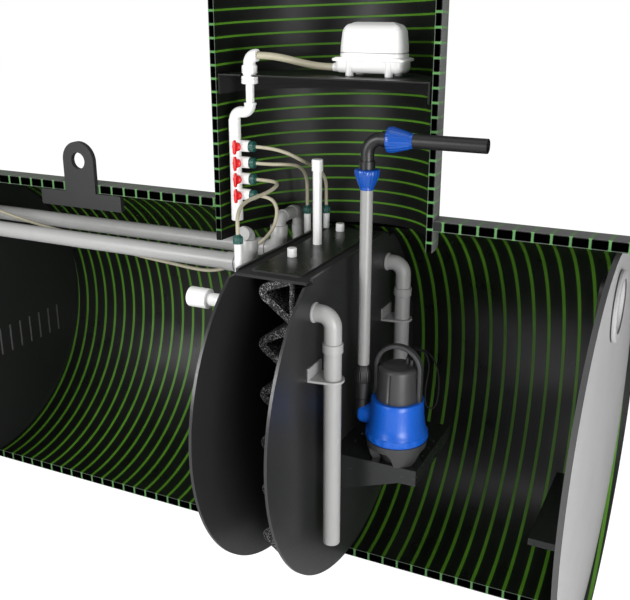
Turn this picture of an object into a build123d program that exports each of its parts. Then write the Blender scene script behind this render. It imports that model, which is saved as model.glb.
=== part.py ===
from build123d import *
from math import pi, radians, tan
import os

# Packaged sewage treatment plant in a lying spiral-wound tank, cut open along its axis.
# X runs along the tank to the outlet, Y points away from the cut, Z is up.
# The origin is on the axis of the access shaft, in the cut, level with the tank's underside.
# All sizes are millimetres.

os.makedirs("parts", exist_ok=True)

# Clearances and plate sizes shared by many pieces
fit = 0.3
plate_thickness = 25
disc_thickness = 15.5

# Tank: a half shell, wound from a hollow profile
tank_bore_radius = 1000
wall_thickness = 53.4
skin_thickness = 5.5
rib_width = 16
tank_pitch = 90
outlet_end = 1600
inlet_end = -3628
end_recess = 35
tank_radius = tank_bore_radius + wall_thickness
axis_height = tank_radius
tank_axis = (0, axis_height)
crown_height = axis_height + tank_radius
cell_depth = 40
first_rib = -24
disc_radius = tank_bore_radius - fit

# Access shaft: the same winding, standing on the crown
shaft_bore_radius = 609.3
shaft_wall = 35.4
shaft_radius = shaft_bore_radius + shaft_wall
shaft_pitch = 70
shaft_rise = 1218.2
shaft_top = crown_height + shaft_rise
foot_depth = 206.8
foot_height = crown_height - foot_depth
first_rib_rise = 92
shaft_first_rib = foot_height + first_rib_rise
foot_drop = 74
foot_slope = foot_drop / (2 * shaft_bore_radius)
foot_plane = Plane(origin=(0, 0, foot_height), z_dir=(-foot_slope, 0, 1))

# Reactor between the two discs
reactor_half_length = 200
lid_depth = 245.8
lid_bottom = crown_height - lid_depth
lid_flange_thickness = 15
lid_flange_top = lid_bottom + lid_flange_thickness
lid_panel_rise = 8
lid_panel_top = lid_flange_top + lid_panel_rise
lid_panel_inset = 55
lid_half_width = 545
shoulder_width = 37
disc_flat_half_width = lid_half_width - shoulder_width
disc_stand = 3
disc_flat_top = lid_panel_top + disc_stand
shoulder_stand = 1
disc_shoulder_top = lid_bottom + shoulder_stand
reactor_face = reactor_half_length + disc_thickness

# Water pipes
main_pipe_diameter = 95
main_pipe_drop = 57
main_pipe_height = lid_bottom - main_pipe_drop
main_pipe_side = 172
main_bend_radius = 75
riser_x = -330
riser_rise = 164
riser_bend_height = main_pipe_height + riser_rise
socket_wall = 8.5
pipe_wall = 4
port_drop = 9
port_height = main_pipe_height - port_drop
port_bore = 250
port_ring = 350
port_chamfer = 8
dip_pipe_diameter = 90
dip_pipe_side = 493
dip_pipe_x = 318
dip_pipe_drop = 149
dip_pipe_height = lid_bottom - dip_pipe_drop
dip_pipe_bottom = 430

# Settlement partition
partition_x = -2605
partition_thickness = 20
slot_width = 15
slot_length = 200
slot_bottom = 745
slot_spacing = 98
slots = 16

# Air distribution
manifold_x = -525
manifold_y = 40
manifold_diameter = 66
manifold_clearance = 123
manifold_bottom = lid_bottom + manifold_clearance
manifold_length = 554
manifold_top = manifold_bottom + manifold_length
lowest_branch_rise = 151
lowest_branch = manifold_bottom + lowest_branch_rise
branch_spacing = 90
branches = 4
branch_heights = [
    lowest_branch + branch_spacing * (branches - number) for number in range(1, branches + 1)
]
branch_diameter = 63
branch_reach = 93
branch_end = manifold_x + branch_reach
branch_nut_length = 40
branch_nut_end = branch_end + branch_nut_length
stem_reach = 35
stem_x = manifold_x + stem_reach
air_hose_diameter = 20
drop_tube_diameter = 40
drop_nut_diameter = 52
drop_tube_x = -reactor_face - drop_tube_diameter / 2

# Air line from the manifold up to the blower's hose
offset_reach = 101
offset_x = manifold_x + offset_reach
offset_leg = 51
offset_height = manifold_top + offset_leg
offset_rise = 50
offset_top = offset_height + offset_rise
offset_diameter = 60
offset_bend_radius = 45
union_post_length = 100
union_bottom = offset_top + union_post_length
union_length = 99
union_top = union_bottom + union_length
union_diameter = 100
blower_hose_diameter = 38
air_elbow_reach = 51
hose_start_x = offset_x + air_elbow_reach
air_elbow_rise = 50
hose_start_height = union_top + air_elbow_rise

# Blower shelf
shelf_rise = 49
shelf_top = union_bottom + shelf_rise
shelf_thickness = 8
shelf_gap = 12.3
shelf_radius = shaft_bore_radius - shelf_gap

# Discharge line and pump
discharge_y = -170
riser_diameter = 63
riser_line_x = 350
elbow_rise = 667
elbow_height = lid_bottom + elbow_rise
pump_x = 552
pump_y = -180
deck_top = 841
deck_half_width = 289
deck_end = 704
deck_lip = 90
deck_plate = 10
strainer_height = 54
strainer_top = deck_top + strainer_height
volute_height = 238
volute_top = strainer_top + volute_height
motor_seat_rise = 13
motor_bottom = volute_top + motor_seat_rise


def save(piece, name):
    """Label one finished piece and write it as the node of the same name."""
    piece.part.label = name
    export_step(piece.part, f"parts/{name}.step")


def bent_pipe(points, bend_radius, diameter):
    """Sweep a round section along straight runs joined by bends of one radius."""
    with BuildPart() as pipe:
        with BuildLine() as route:
            FilletPolyline(*points, radius=bend_radius)
        start = Plane(origin=route.line @ 0, z_dir=route.line % 0)
        with BuildSketch(start):
            Circle(diameter / 2)
        sweep()
    return pipe.part


def hose(name, points, diameter):
    """Make one hose as straight runs joined by tangent arcs, and print what it comes to."""
    corners = [Vector(*point) for point in points]
    radii = []
    for before, corner, after in zip(corners, corners[1:], corners[2:]):
        arriving = corner - before
        leaving = after - corner
        turn = radians(arriving.get_angle(leaving))
        shorter = min(arriving.length, leaving.length)
        radii.append(0.45 * shorter / tan(turn / 2))
    with BuildPart() as tube:
        with BuildLine() as route:
            FilletPolyline(*points, radius=radii)
        start = Plane(origin=corners[0], z_dir=corners[1] - corners[0])
        with BuildSketch(start):
            Circle(diameter / 2)
        sweep()
    length = sum(edge.length for edge in route.line.edges())
    share = tube.part.volume / (pi * diameter**2 / 4 * length)
    print(name, "length", round(length), "radii", [round(r) for r in radii], "fill", round(share, 4))
    save(tube, name)


def stepped_post(base, steps):
    """Stack round steps, each a diameter and a top height, upwards from a base point."""
    x, y, bottom = base
    with BuildPart() as post:
        for diameter, top in steps:
            with BuildSketch(Plane.XY.offset(bottom)):
                with Locations((x, y)):
                    Circle(diameter / 2)
            extrude(amount=top - bottom)
            bottom = top
    return post.part


# The crown opening is the shaft's own cylinder, down to the sloping foot of its winding.
with BuildPart() as crown_opening:
    with BuildSketch(Plane.XY.offset(foot_height - shaft_radius)):
        Circle(shaft_radius + fit)
    extrude(amount=2 * shaft_radius)
    split(bisect_by=foot_plane, keep=Keep.TOP)

# Lifting lug: an eye through the crown on a bar that bears on the inside
lug_x = -1600
lug_width = 230
lug_half_thickness = 15
lug_eye_rise = 139.2
lug_eye_height = crown_height + lug_eye_rise
lug_eye_diameter = 100
lug_bar_top = axis_height + tank_bore_radius - 2 * fit
lug_bar_height = 96
lug_bar_length = 610
lug_bar_corner = 12
lug_bar_shift = 5
lug_bar_x = lug_x - lug_bar_shift

with BuildPart() as lifting_lug:
    with BuildSketch(Plane.XZ.offset(-lug_half_thickness)):
        with Locations((lug_x, (lug_eye_height + lug_bar_top) / 2)):
            Rectangle(lug_width, lug_eye_height - lug_bar_top)
        with Locations((lug_x, lug_eye_height)):
            Circle(lug_width / 2)
        with Locations((lug_bar_x, lug_bar_top - lug_bar_height / 2)):
            RectangleRounded(lug_bar_length, lug_bar_height, lug_bar_corner)
        with Locations((lug_x, lug_eye_height)):
            Circle(lug_eye_diameter / 2, mode=Mode.SUBTRACT)
    extrude(amount=2 * lug_half_thickness)
save(lifting_lug, "lifting_lug")

# Tank shell
cells = int((outlet_end - inlet_end) / tank_pitch)
cell_height = wall_thickness - 2 * skin_thickness
cell_width = tank_pitch - rib_width
last_cell = first_rib + tank_pitch * int((outlet_end - first_rib) / tank_pitch) - tank_pitch / 2

with BuildPart() as tank_shell:
    with BuildSketch(Plane.YZ.offset(inlet_end)):
        with Locations(tank_axis):
            Circle(tank_radius)
            Circle(tank_bore_radius, mode=Mode.SUBTRACT)
        with Locations((-tank_radius, axis_height)):
            Rectangle(2 * tank_radius, 2 * tank_radius, mode=Mode.SUBTRACT)
    extrude(amount=outlet_end - inlet_end)
    # Hollow cells of the winding, seen in the cut
    top_cells = []
    for index in range(cells):
        x = last_cell - index * tank_pitch
        clear_of_shaft = abs(x) > shaft_radius + cell_width / 2 + skin_thickness
        clear_of_lug = abs(x - lug_x) > lug_width / 2 + cell_width / 2 + skin_thickness
        if clear_of_shaft and clear_of_lug:
            top_cells.append((x, axis_height + tank_bore_radius + wall_thickness / 2))
    low_cells = [(last_cell - index * tank_pitch, wall_thickness / 2) for index in range(cells)]
    with BuildSketch(Plane.XZ):
        with Locations(*top_cells, *low_cells):
            Rectangle(cell_width, cell_height)
    extrude(amount=-cell_depth, mode=Mode.SUBTRACT)
    add(crown_opening.part, mode=Mode.SUBTRACT)
    # Slot for the tab of the lifting lug
    with BuildSketch(Plane.XY.offset(axis_height + tank_bore_radius - wall_thickness)):
        with Locations((lug_x, 0)):
            Rectangle(lug_width + 2 * fit, 2 * (lug_half_thickness + fit))
    extrude(amount=3 * wall_thickness, mode=Mode.SUBTRACT)
save(tank_shell, "tank_shell")

# Access shaft, standing on the tank's outside where the slope of its foot has left the tank
with BuildPart() as tank_under_foot:
    with BuildSketch(Plane.YZ.offset(-2 * shaft_radius)):
        with Locations(tank_axis):
            Circle(tank_radius + fit)
    extrude(amount=4 * shaft_radius)
    split(bisect_by=foot_plane, keep=Keep.BOTTOM)

shaft_middle = (shaft_radius + shaft_bore_radius) / 2
with BuildPart() as access_shaft:
    with BuildSketch(Plane.XY.offset(foot_height - 2 * foot_drop)):
        Circle(shaft_radius)
        Circle(shaft_bore_radius, mode=Mode.SUBTRACT)
        with Locations((0, -shaft_radius)):
            Rectangle(2 * shaft_radius, 2 * shaft_radius, mode=Mode.SUBTRACT)
    extrude(amount=shaft_top - foot_height + 2 * foot_drop)
    add(tank_under_foot.part, mode=Mode.SUBTRACT)
    rows = int((shaft_top - shaft_first_rib) / shaft_pitch)
    heights = [shaft_first_rib + shaft_pitch * (row + 0.5) for row in range(-1, rows)]
    with BuildSketch(Plane.XZ):
        with Locations(*[(side * shaft_middle, z) for side in (-1, 1) for z in heights]):
            Rectangle(shaft_wall - 2 * skin_thickness, shaft_pitch - rib_width)
    extrude(amount=-cell_depth, mode=Mode.SUBTRACT)
save(access_shaft, "access_shaft")


def end_plate(name, inner_face):
    """Round end plate with the hole for its port."""
    with BuildPart() as plate:
        with BuildSketch(Plane.YZ.offset(inner_face)):
            with Locations(tank_axis):
                Circle(disc_radius)
            with Locations((0, port_height)):
                Circle(port_bore / 2 + socket_wall + fit, mode=Mode.SUBTRACT)
        extrude(amount=plate_thickness)
    save(plate, name)


def port_socket(name, outer_face, outward):
    """Sleeve through an end plate with a ring against the plate's outer face."""
    port_plane = Plane(origin=(outer_face, 0, port_height), z_dir=(outward, 0, 0))
    with BuildPart() as socket:
        with BuildSketch(port_plane.offset(-3 * plate_thickness)):
            Circle(port_bore / 2 + socket_wall)
            Circle(port_bore / 2, mode=Mode.SUBTRACT)
        extrude(amount=3 * plate_thickness)
        with BuildSketch(port_plane):
            Circle(port_ring / 2)
            Circle(port_bore / 2, mode=Mode.SUBTRACT)
        extrude(amount=plate_thickness)
        rim = socket.edges().filter_by(GeomType.CIRCLE).sort_by(Axis.X)
        outer_rim = rim[-2:] if outward > 0 else rim[:2]
        chamfer(outer_rim, length=port_chamfer)
    save(socket, name)


end_plate("outlet_end_plate", outlet_end - end_recess - plate_thickness)
port_socket("outlet_socket", outlet_end - end_recess, 1)
end_plate("inlet_end_plate", inlet_end + end_recess)
port_socket("inlet_socket", inlet_end + end_recess, -1)

# Settlement partition with its row of slots and the holes for the two transfer pipes
with BuildPart() as settlement_partition:
    with BuildSketch(Plane.YZ.offset(partition_x)):
        with Locations(tank_axis):
            Circle(disc_radius)
        with Locations((0, slot_bottom + slot_length / 2)):
            with GridLocations(slot_spacing, slot_length, slots, 1):
                Rectangle(slot_width, slot_length, mode=Mode.SUBTRACT)
        for side in (-main_pipe_side, main_pipe_side):
            with Locations((side, main_pipe_height)):
                Circle(main_pipe_diameter / 2 + fit, mode=Mode.SUBTRACT)
    extrude(amount=partition_thickness)
save(settlement_partition, "settlement_partition")

# Shelf inside the outlet end
ledge_bottom = 385
ledge_thickness = 40
ledge_length = 285
ledge_start = outlet_end - end_recess - plate_thickness - ledge_length

with BuildPart() as outlet_ledge:
    with BuildSketch(Plane.YZ.offset(ledge_start)):
        with Locations(tank_axis):
            Circle(disc_radius)
        with Locations((tank_radius / 2, ledge_bottom + ledge_thickness / 2)):
            Rectangle(tank_radius, ledge_thickness, mode=Mode.INTERSECT)
    extrude(amount=ledge_length)
save(outlet_ledge, "outlet_ledge")


def reactor_disc(name, inner_face, holes, hole_diameter):
    """Disc with a flat top between two lower shoulders, and holes for the pipes it carries."""
    with BuildPart() as disc:
        with BuildSketch(Plane.YZ.offset(inner_face)):
            with Locations(tank_axis):
                Circle(disc_radius)
            with Locations((0, disc_flat_top + disc_radius)):
                Rectangle(2 * disc_radius, 2 * disc_radius, mode=Mode.SUBTRACT)
            for side in (-1, 1):
                shoulder = (side * (disc_flat_half_width + disc_radius), disc_shoulder_top + disc_radius)
                with Locations(shoulder):
                    Rectangle(2 * disc_radius, 2 * disc_radius, mode=Mode.SUBTRACT)
            for centre in holes:
                with Locations(centre):
                    Circle(hole_diameter / 2, mode=Mode.SUBTRACT)
        extrude(amount=disc_thickness)
    save(disc, name)


stub_side = -600
stub_drop = 126
stub_height = lid_bottom - stub_drop
stub_diameter = 67
stub_holes = [(stub_side, stub_height)]
dip_holes = [(side, dip_pipe_height) for side in (-dip_pipe_side, dip_pipe_side)]
reactor_disc("reactor_left_disc", -reactor_face, stub_holes, stub_diameter - 2 * pipe_wall)
reactor_disc("reactor_right_disc", reactor_half_length, dip_holes, dip_pipe_diameter - 2 * pipe_wall)

# Lid between the discs: a flange with a raised panel
lid_half_length = reactor_half_length - fit
lid_panel_half_length = lid_half_length - lid_panel_inset
lid_panel_half_width = lid_half_width - lid_panel_inset
lid_panel_corner = 20
with BuildPart() as reactor_lid:
    with BuildSketch(Plane.XY.offset(lid_bottom)):
        Rectangle(2 * lid_half_length, 2 * lid_half_width)
    extrude(amount=lid_flange_top - lid_bottom)
    with BuildSketch(Plane.XY.offset(lid_flange_top)):
        RectangleRounded(2 * lid_panel_half_length, 2 * lid_panel_half_width, lid_panel_corner)
    extrude(amount=lid_panel_top - lid_flange_top, taper=30)
    with BuildSketch(Plane.YZ.offset(-lid_half_length)):
        with Locations(tank_axis):
            Circle(disc_radius)
    extrude(amount=2 * lid_half_length, mode=Mode.INTERSECT)
save(reactor_lid, "reactor_lid")

# Growth medium: one folded mat hanging between the discs, given by its middle line
mat_thickness = 45
mat_half_width = 478
mat_right = 110
mat_left = -115
fold_pitch = 286
fold_drop = 168
mat_folds = 6
first_fold_drop = 85
highest_left_fold = lid_bottom - first_fold_drop
mat_line = [(mat_right, lid_bottom)]
for fold in range(mat_folds):
    left_fold = highest_left_fold - fold * fold_pitch
    mat_line.append((mat_left, left_fold))
    mat_line.append((mat_right, left_fold - fold_drop))

with BuildPart() as bio_media:
    with BuildSketch(Plane.XZ.offset(-mat_half_width)):
        with BuildLine():
            Polyline(*mat_line)
        trace(line_width=mat_thickness)
        with Locations((0, lid_bottom + mat_half_width)):
            Rectangle(4 * mat_right, 2 * mat_half_width, mode=Mode.SUBTRACT)
    extrude(amount=2 * mat_half_width)
    with BuildSketch(Plane.YZ.offset(-reactor_half_length)):
        with Locations(tank_axis):
            Circle(disc_radius)
    extrude(amount=2 * reactor_half_length, mode=Mode.INTERSECT)
save(bio_media, "bio_media")

# Tube that hangs from the lid in front of the mat
media_tube_diameter = 30
media_tube_x = 101
media_tube_gap = 7.5
media_tube_y = -mat_half_width - media_tube_diameter / 2 - media_tube_gap
media_tube_bottom = 300
with BuildPart() as media_tube:
    add(stepped_post((media_tube_x, media_tube_y, media_tube_bottom), [(media_tube_diameter, lid_bottom)]))
save(media_tube, "media_tube")

# Transfer pipes: level runs from the partition, each turned up into a riser
socket_diameter = main_pipe_diameter + 2 * socket_wall
socket_reach = 137
socket_start = riser_x - socket_reach
socket_length = 60
collar_wall = 5.5
riser_seat_rise = 89
riser_seat = main_pipe_height + riser_seat_rise
socket_overlap = 11
riser_socket_bottom = riser_seat - socket_overlap
socket_rise = 52
riser_socket_top = riser_seat + socket_rise
mouth_depth = 60

for side, name in ((-1, "front"), (1, "rear")):
    y = side * main_pipe_side
    run_start = partition_x - main_pipe_diameter
    run = [
        (run_start, y, main_pipe_height),
        (riser_x, y, main_pipe_height),
        (riser_x, y, riser_seat),
    ]
    with BuildPart() as transfer_pipe:
        add(bent_pipe(run, main_bend_radius, main_pipe_diameter))
        with BuildSketch(Plane.YZ.offset(socket_start)):
            with Locations((y, main_pipe_height)):
                Circle(main_pipe_diameter / 2 + collar_wall)
        extrude(amount=socket_length)
        with BuildSketch(Plane.YZ.offset(run_start)):
            with Locations((y, main_pipe_height)):
                Circle(main_pipe_diameter / 2 - pipe_wall)
        extrude(amount=mouth_depth, mode=Mode.SUBTRACT)
    save(transfer_pipe, f"{name}_transfer_pipe")


def riser_socket(y):
    """Collar of a riser bend, which reaches down over the pipe below it."""
    with BuildPart() as collar:
        with BuildSketch(Plane.XY.offset(riser_socket_bottom)):
            with Locations((riser_x, y)):
                Circle(socket_diameter / 2)
        extrude(amount=riser_socket_top - riser_socket_bottom)
    return collar.part


# Bend over the front riser, its plugged mouth towards the cut
front_mouth_reach = 70
front_mouth_y = -main_pipe_side - front_mouth_reach
mouth_collar = 26
mouth_recess = 10
bend_radius = 60
with BuildPart() as front_riser_bend:
    front_bend = [
        (riser_x, -main_pipe_side, riser_seat),
        (riser_x, -main_pipe_side, riser_bend_height),
        (riser_x, front_mouth_y, riser_bend_height),
    ]
    add(bent_pipe(front_bend, bend_radius, main_pipe_diameter))
    add(riser_socket(-main_pipe_side), mode=Mode.ADD)
    with BuildSketch(Plane.XY.offset(riser_socket_bottom)):
        with Locations((riser_x, -main_pipe_side)):
            Circle(main_pipe_diameter / 2 + fit)
    extrude(amount=riser_seat - riser_socket_bottom, mode=Mode.SUBTRACT)
    mouth = Plane(origin=front_bend[-1], z_dir=(0, -1, 0))
    with BuildSketch(mouth):
        Circle(socket_diameter / 2)
    extrude(amount=mouth_collar)
    with BuildSketch(mouth.offset(mouth_collar)):
        Circle(main_pipe_diameter / 2)
    extrude(amount=-mouth_recess, mode=Mode.SUBTRACT)
save(front_riser_bend, "front_riser_bend")

# Bend over the rear riser, back to a leg that goes down outside the reactor
rear_leg_y = 425
rear_leg_bottom = 500
rear_collar_length = 30
leg_collar_length = 45
with BuildPart() as rear_riser_bend:
    rear_bend = [
        (riser_x, main_pipe_side, riser_seat),
        (riser_x, main_pipe_side, riser_bend_height),
        (riser_x, rear_leg_y, riser_bend_height),
        (riser_x, rear_leg_y, rear_leg_bottom),
    ]
    add(bent_pipe(rear_bend, bend_radius, main_pipe_diameter))
    add(riser_socket(main_pipe_side), mode=Mode.ADD)
    with BuildSketch(Plane.XY.offset(riser_socket_bottom)):
        with Locations((riser_x, main_pipe_side)):
            Circle(main_pipe_diameter / 2 + fit)
    extrude(amount=riser_seat - riser_socket_bottom, mode=Mode.SUBTRACT)
    with BuildSketch(Plane.XZ.offset(-rear_leg_y + bend_radius)):
        with Locations((riser_x, riser_bend_height)):
            Circle(main_pipe_diameter / 2 + collar_wall)
    extrude(amount=rear_collar_length)
    with BuildSketch(Plane.XY.offset(riser_bend_height - bend_radius)):
        with Locations((riser_x, rear_leg_y)):
            Circle(main_pipe_diameter / 2 + collar_wall)
    extrude(amount=-leg_collar_length)
save(rear_riser_bend, "rear_riser_bend")

# Capped stub on the left disc
stub_length = 103.5
stub_cap_length = 112
stub_cap_diameter = 103
stub_cap_chamfer = 6
with BuildPart() as side_stub:
    stub_plane = Plane(origin=(-reactor_face, stub_side, stub_height), z_dir=(-1, 0, 0))
    with BuildSketch(stub_plane):
        Circle(stub_diameter / 2)
    extrude(amount=stub_length)
    with BuildSketch(stub_plane.offset(stub_length)):
        Circle(stub_cap_diameter / 2)
    extrude(amount=stub_cap_length)
    chamfer(side_stub.faces().sort_by(Axis.X)[0].edges(), length=stub_cap_chamfer)
save(side_stub, "side_stub")

# Dip pipes: an elbow out of the right disc and a leg down to the pump chamber
dip_elbow_radius = 65
dip_collar_wall = 7
dip_collar_length = 48
dip_collar_drop = 193
dip_collar_bottom = dip_pipe_height - dip_collar_drop
for side, name in ((-1, "front"), (1, "rear")):
    y = side * dip_pipe_side
    dip_run = [
        (reactor_face, y, dip_pipe_height),
        (dip_pipe_x, y, dip_pipe_height),
        (dip_pipe_x, y, dip_pipe_bottom),
    ]
    with BuildPart() as dip_pipe:
        add(bent_pipe(dip_run, dip_elbow_radius, dip_pipe_diameter))
        with BuildSketch(Plane.XY.offset(dip_collar_bottom)):
            with Locations((dip_pipe_x, y)):
                Circle(dip_pipe_diameter / 2 + dip_collar_wall)
        extrude(amount=dip_collar_length)
        with BuildSketch(Plane.XY.offset(dip_pipe_bottom)):
            with Locations((dip_pipe_x, y)):
                Circle(dip_pipe_diameter / 2 - pipe_wall)
        extrude(amount=mouth_depth, mode=Mode.SUBTRACT)
    save(dip_pipe, f"{name}_dip_pipe")

# Brackets from the disc to the dip pipes: a plate that narrows to a ring, and an upstand
bracket_drop = 154
bracket_height = dip_collar_bottom - bracket_drop
bracket_thickness = 12
bracket_width = 150
bracket_upstand = 74
bracket_upstand_thickness = 8
bracket_ring_wall = 16
bracket_ring = dip_pipe_diameter / 2 + bracket_ring_wall
with BuildPart() as dip_pipe_brackets:
    for side in (-1, 1):
        y = side * dip_pipe_side
        with BuildSketch(Plane.XY.offset(bracket_height)):
            with BuildLine():
                Polyline(
                    (reactor_face, y - bracket_width / 2),
                    (reactor_face, y + bracket_width / 2),
                    (dip_pipe_x, y + bracket_ring),
                    (dip_pipe_x, y - bracket_ring),
                    close=True,
                )
            make_face()
            with Locations((dip_pipe_x, y)):
                Circle(bracket_ring)
                Circle(dip_pipe_diameter / 2 + fit, mode=Mode.SUBTRACT)
        extrude(amount=bracket_thickness)
        with BuildSketch(Plane.YZ.offset(reactor_face)):
            with Locations((y, bracket_height + bracket_upstand / 2)):
                Rectangle(bracket_width, bracket_upstand)
        extrude(amount=bracket_upstand_thickness)
save(dip_pipe_brackets, "dip_pipe_brackets")

# Posts and caps on the lid
post_diameter = 50
post_cap_diameter = 62
post_length = 406
post_cap_bottom = lid_panel_top + post_length
post_cap_height = 65
post_cap_top = post_cap_bottom + post_cap_height
post_place = (-49, 96, lid_panel_top)
with BuildPart() as standpipe:
    add(stepped_post(post_place, [(post_diameter, post_cap_bottom), (post_cap_diameter, post_cap_top)]))
save(standpipe, "standpipe")

# Each cap on the lid: its place, its diameter and its height above the panel
lid_cap_sizes = [(-60, -190, 51, 48), (-54, 413, 50, 47)]
with BuildPart() as lid_caps:
    for x, y, diameter, height in lid_cap_sizes:
        add(stepped_post((x, y, lid_panel_top), [(diameter, lid_panel_top + height)]))
save(lid_caps, "lid_caps")

# Air drop tubes: two outside the left disc, one on the lid's flange, with their nuts
nut_overlap = 28
drop_nut_height = 48
drop_nut_neck = 12
drop_nut_step = 6
drop_tube_bottom = 250
front_tube_rise = 183
front_tube_top = lid_bottom + front_tube_rise
rear_tube_rise = 174
rear_tube_top = lid_bottom + rear_tube_rise
lid_tube_rise = 155
lid_tube_top = lid_bottom + lid_tube_rise
front_tube_y = -445
rear_tube_y = 350
lid_tube_x = -175
lid_tube_y = 480
drop_tubes = [
    (drop_tube_x, front_tube_y, drop_tube_bottom, front_tube_top),
    (drop_tube_x, rear_tube_y, drop_tube_bottom, rear_tube_top),
    (lid_tube_x, lid_tube_y, lid_flange_top, lid_tube_top),
]
with BuildPart() as air_drop_tubes:
    for x, y, bottom, top in drop_tubes:
        add(stepped_post((x, y, bottom), [(drop_tube_diameter, top - drop_nut_height + nut_overlap)]))
save(air_drop_tubes, "air_drop_tubes")

with BuildPart() as drop_tube_nuts:
    for x, y, bottom, top in drop_tubes:
        nut_bottom = top - drop_nut_height
        with BuildSketch(Plane.XY.offset(nut_bottom)):
            with Locations((x, y)):
                Circle(drop_nut_diameter / 2)
        extrude(amount=drop_nut_height - drop_nut_neck)
        with BuildSketch(Plane.XY.offset(top - drop_nut_neck)):
            with Locations((x, y)):
                Circle(drop_nut_diameter / 2 - drop_nut_step)
        extrude(amount=drop_nut_neck)
        with BuildSketch(Plane.XY.offset(nut_bottom)):
            with Locations((x, y)):
                Circle(drop_tube_diameter / 2 + fit)
        extrude(amount=nut_overlap, mode=Mode.SUBTRACT)
save(drop_tube_nuts, "drop_tube_nuts")

# Air manifold: a post with four valve bodies, each with a boss for its handle
stem_diameter = 36
stem_rise = 8
stem_face = manifold_y - branch_diameter / 2 - stem_rise
seam_width = 3
seam_depth = 1.5
lower_seam_rise = 61
upper_seam_drop = 65
seam_heights = (manifold_bottom + lower_seam_rise, manifold_top - upper_seam_drop)
with BuildPart() as air_manifold:
    with BuildSketch(Plane.XY.offset(manifold_bottom)):
        with Locations((manifold_x, manifold_y)):
            Circle(manifold_diameter / 2)
    extrude(amount=manifold_top - manifold_bottom)
    for height in branch_heights:
        with BuildSketch(Plane.YZ.offset(manifold_x)):
            with Locations((manifold_y, height)):
                Circle(branch_diameter / 2)
        extrude(amount=branch_end - manifold_x)
        with BuildSketch(Plane.XZ.offset(-manifold_y)):
            with Locations((stem_x, height)):
                Circle(stem_diameter / 2)
        extrude(amount=manifold_y - stem_face)
    for height in seam_heights:
        with BuildSketch(Plane.XY.offset(height)):
            with Locations((manifold_x, manifold_y)):
                Circle(manifold_diameter / 2)
                Circle(manifold_diameter / 2 - seam_depth, mode=Mode.SUBTRACT)
        extrude(amount=seam_width, mode=Mode.SUBTRACT)
save(air_manifold, "air_manifold")

nut_length = branch_nut_end - branch_end
nut_grip_length = 28
nut_grip_radius = 30
nut_grip_sides = 12
nut_neck_radius = 22
with BuildPart() as valve_nuts:
    for height in branch_heights:
        with BuildSketch(Plane.YZ.offset(branch_end)):
            with Locations((manifold_y, height)):
                RegularPolygon(nut_grip_radius, nut_grip_sides)
        extrude(amount=nut_grip_length)
        with BuildSketch(Plane.YZ.offset(branch_end)):
            with Locations((manifold_y, height)):
                Circle(nut_neck_radius)
        extrude(amount=nut_length)
save(valve_nuts, "valve_nuts")

# Quarter-turn handles, drawn upright as they are when open
handle_hub_diameter = 50
handle_length = 78
handle_width = 16
handle_hub_length = 20.5
handle_bar_back = stem_face - handle_hub_length
handle_bar_depth = 20
handle_front = handle_bar_back - handle_bar_depth
for index, height in enumerate(branch_heights, 1):
    with BuildPart() as valve_handle:
        with BuildSketch(Plane.XZ.offset(-stem_face + fit)):
            with Locations((stem_x, height)):
                Circle(handle_hub_diameter / 2)
        extrude(amount=stem_face - fit - handle_bar_back)
        with BuildSketch(Plane.XZ.offset(-handle_bar_back)):
            with Locations((stem_x, height)):
                SlotOverall(handle_length, handle_width, rotation=90)
        extrude(amount=handle_bar_back - handle_front)
    save(valve_handle, f"valve_handle_{index}")

# Air line from the manifold up to the blower hose
with BuildPart() as air_offset_pipe:
    offset_run = [
        (manifold_x, manifold_y, manifold_top),
        (manifold_x, manifold_y, offset_height),
        (offset_x, manifold_y, offset_height),
        (offset_x, manifold_y, offset_top),
    ]
    add(bent_pipe(offset_run, offset_bend_radius, offset_diameter))
    add(stepped_post((offset_x, manifold_y, offset_top), [(drop_tube_diameter, union_bottom)]))
save(air_offset_pipe, "air_offset_pipe")

union_ring_height = 42
union_ring_top = union_bottom + union_ring_height
union_neck_height = 16
union_neck_top = union_ring_top + union_neck_height
union_neck_diameter = 85
union_collar_diameter = 92
with BuildPart() as air_union:
    union_steps = [
        (union_diameter, union_ring_top),
        (union_neck_diameter, union_neck_top),
        (union_collar_diameter, union_top),
    ]
    add(stepped_post((offset_x, manifold_y, union_bottom), union_steps))
save(air_union, "air_union")

air_elbow_radius = 42
air_elbow_diameter = 65
with BuildPart() as air_elbow:
    elbow_run = [
        (offset_x, manifold_y, union_top),
        (offset_x, manifold_y, hose_start_height),
        (hose_start_x, manifold_y, hose_start_height),
    ]
    add(bent_pipe(elbow_run, air_elbow_radius, air_elbow_diameter))
save(air_elbow, "air_elbow")

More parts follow.
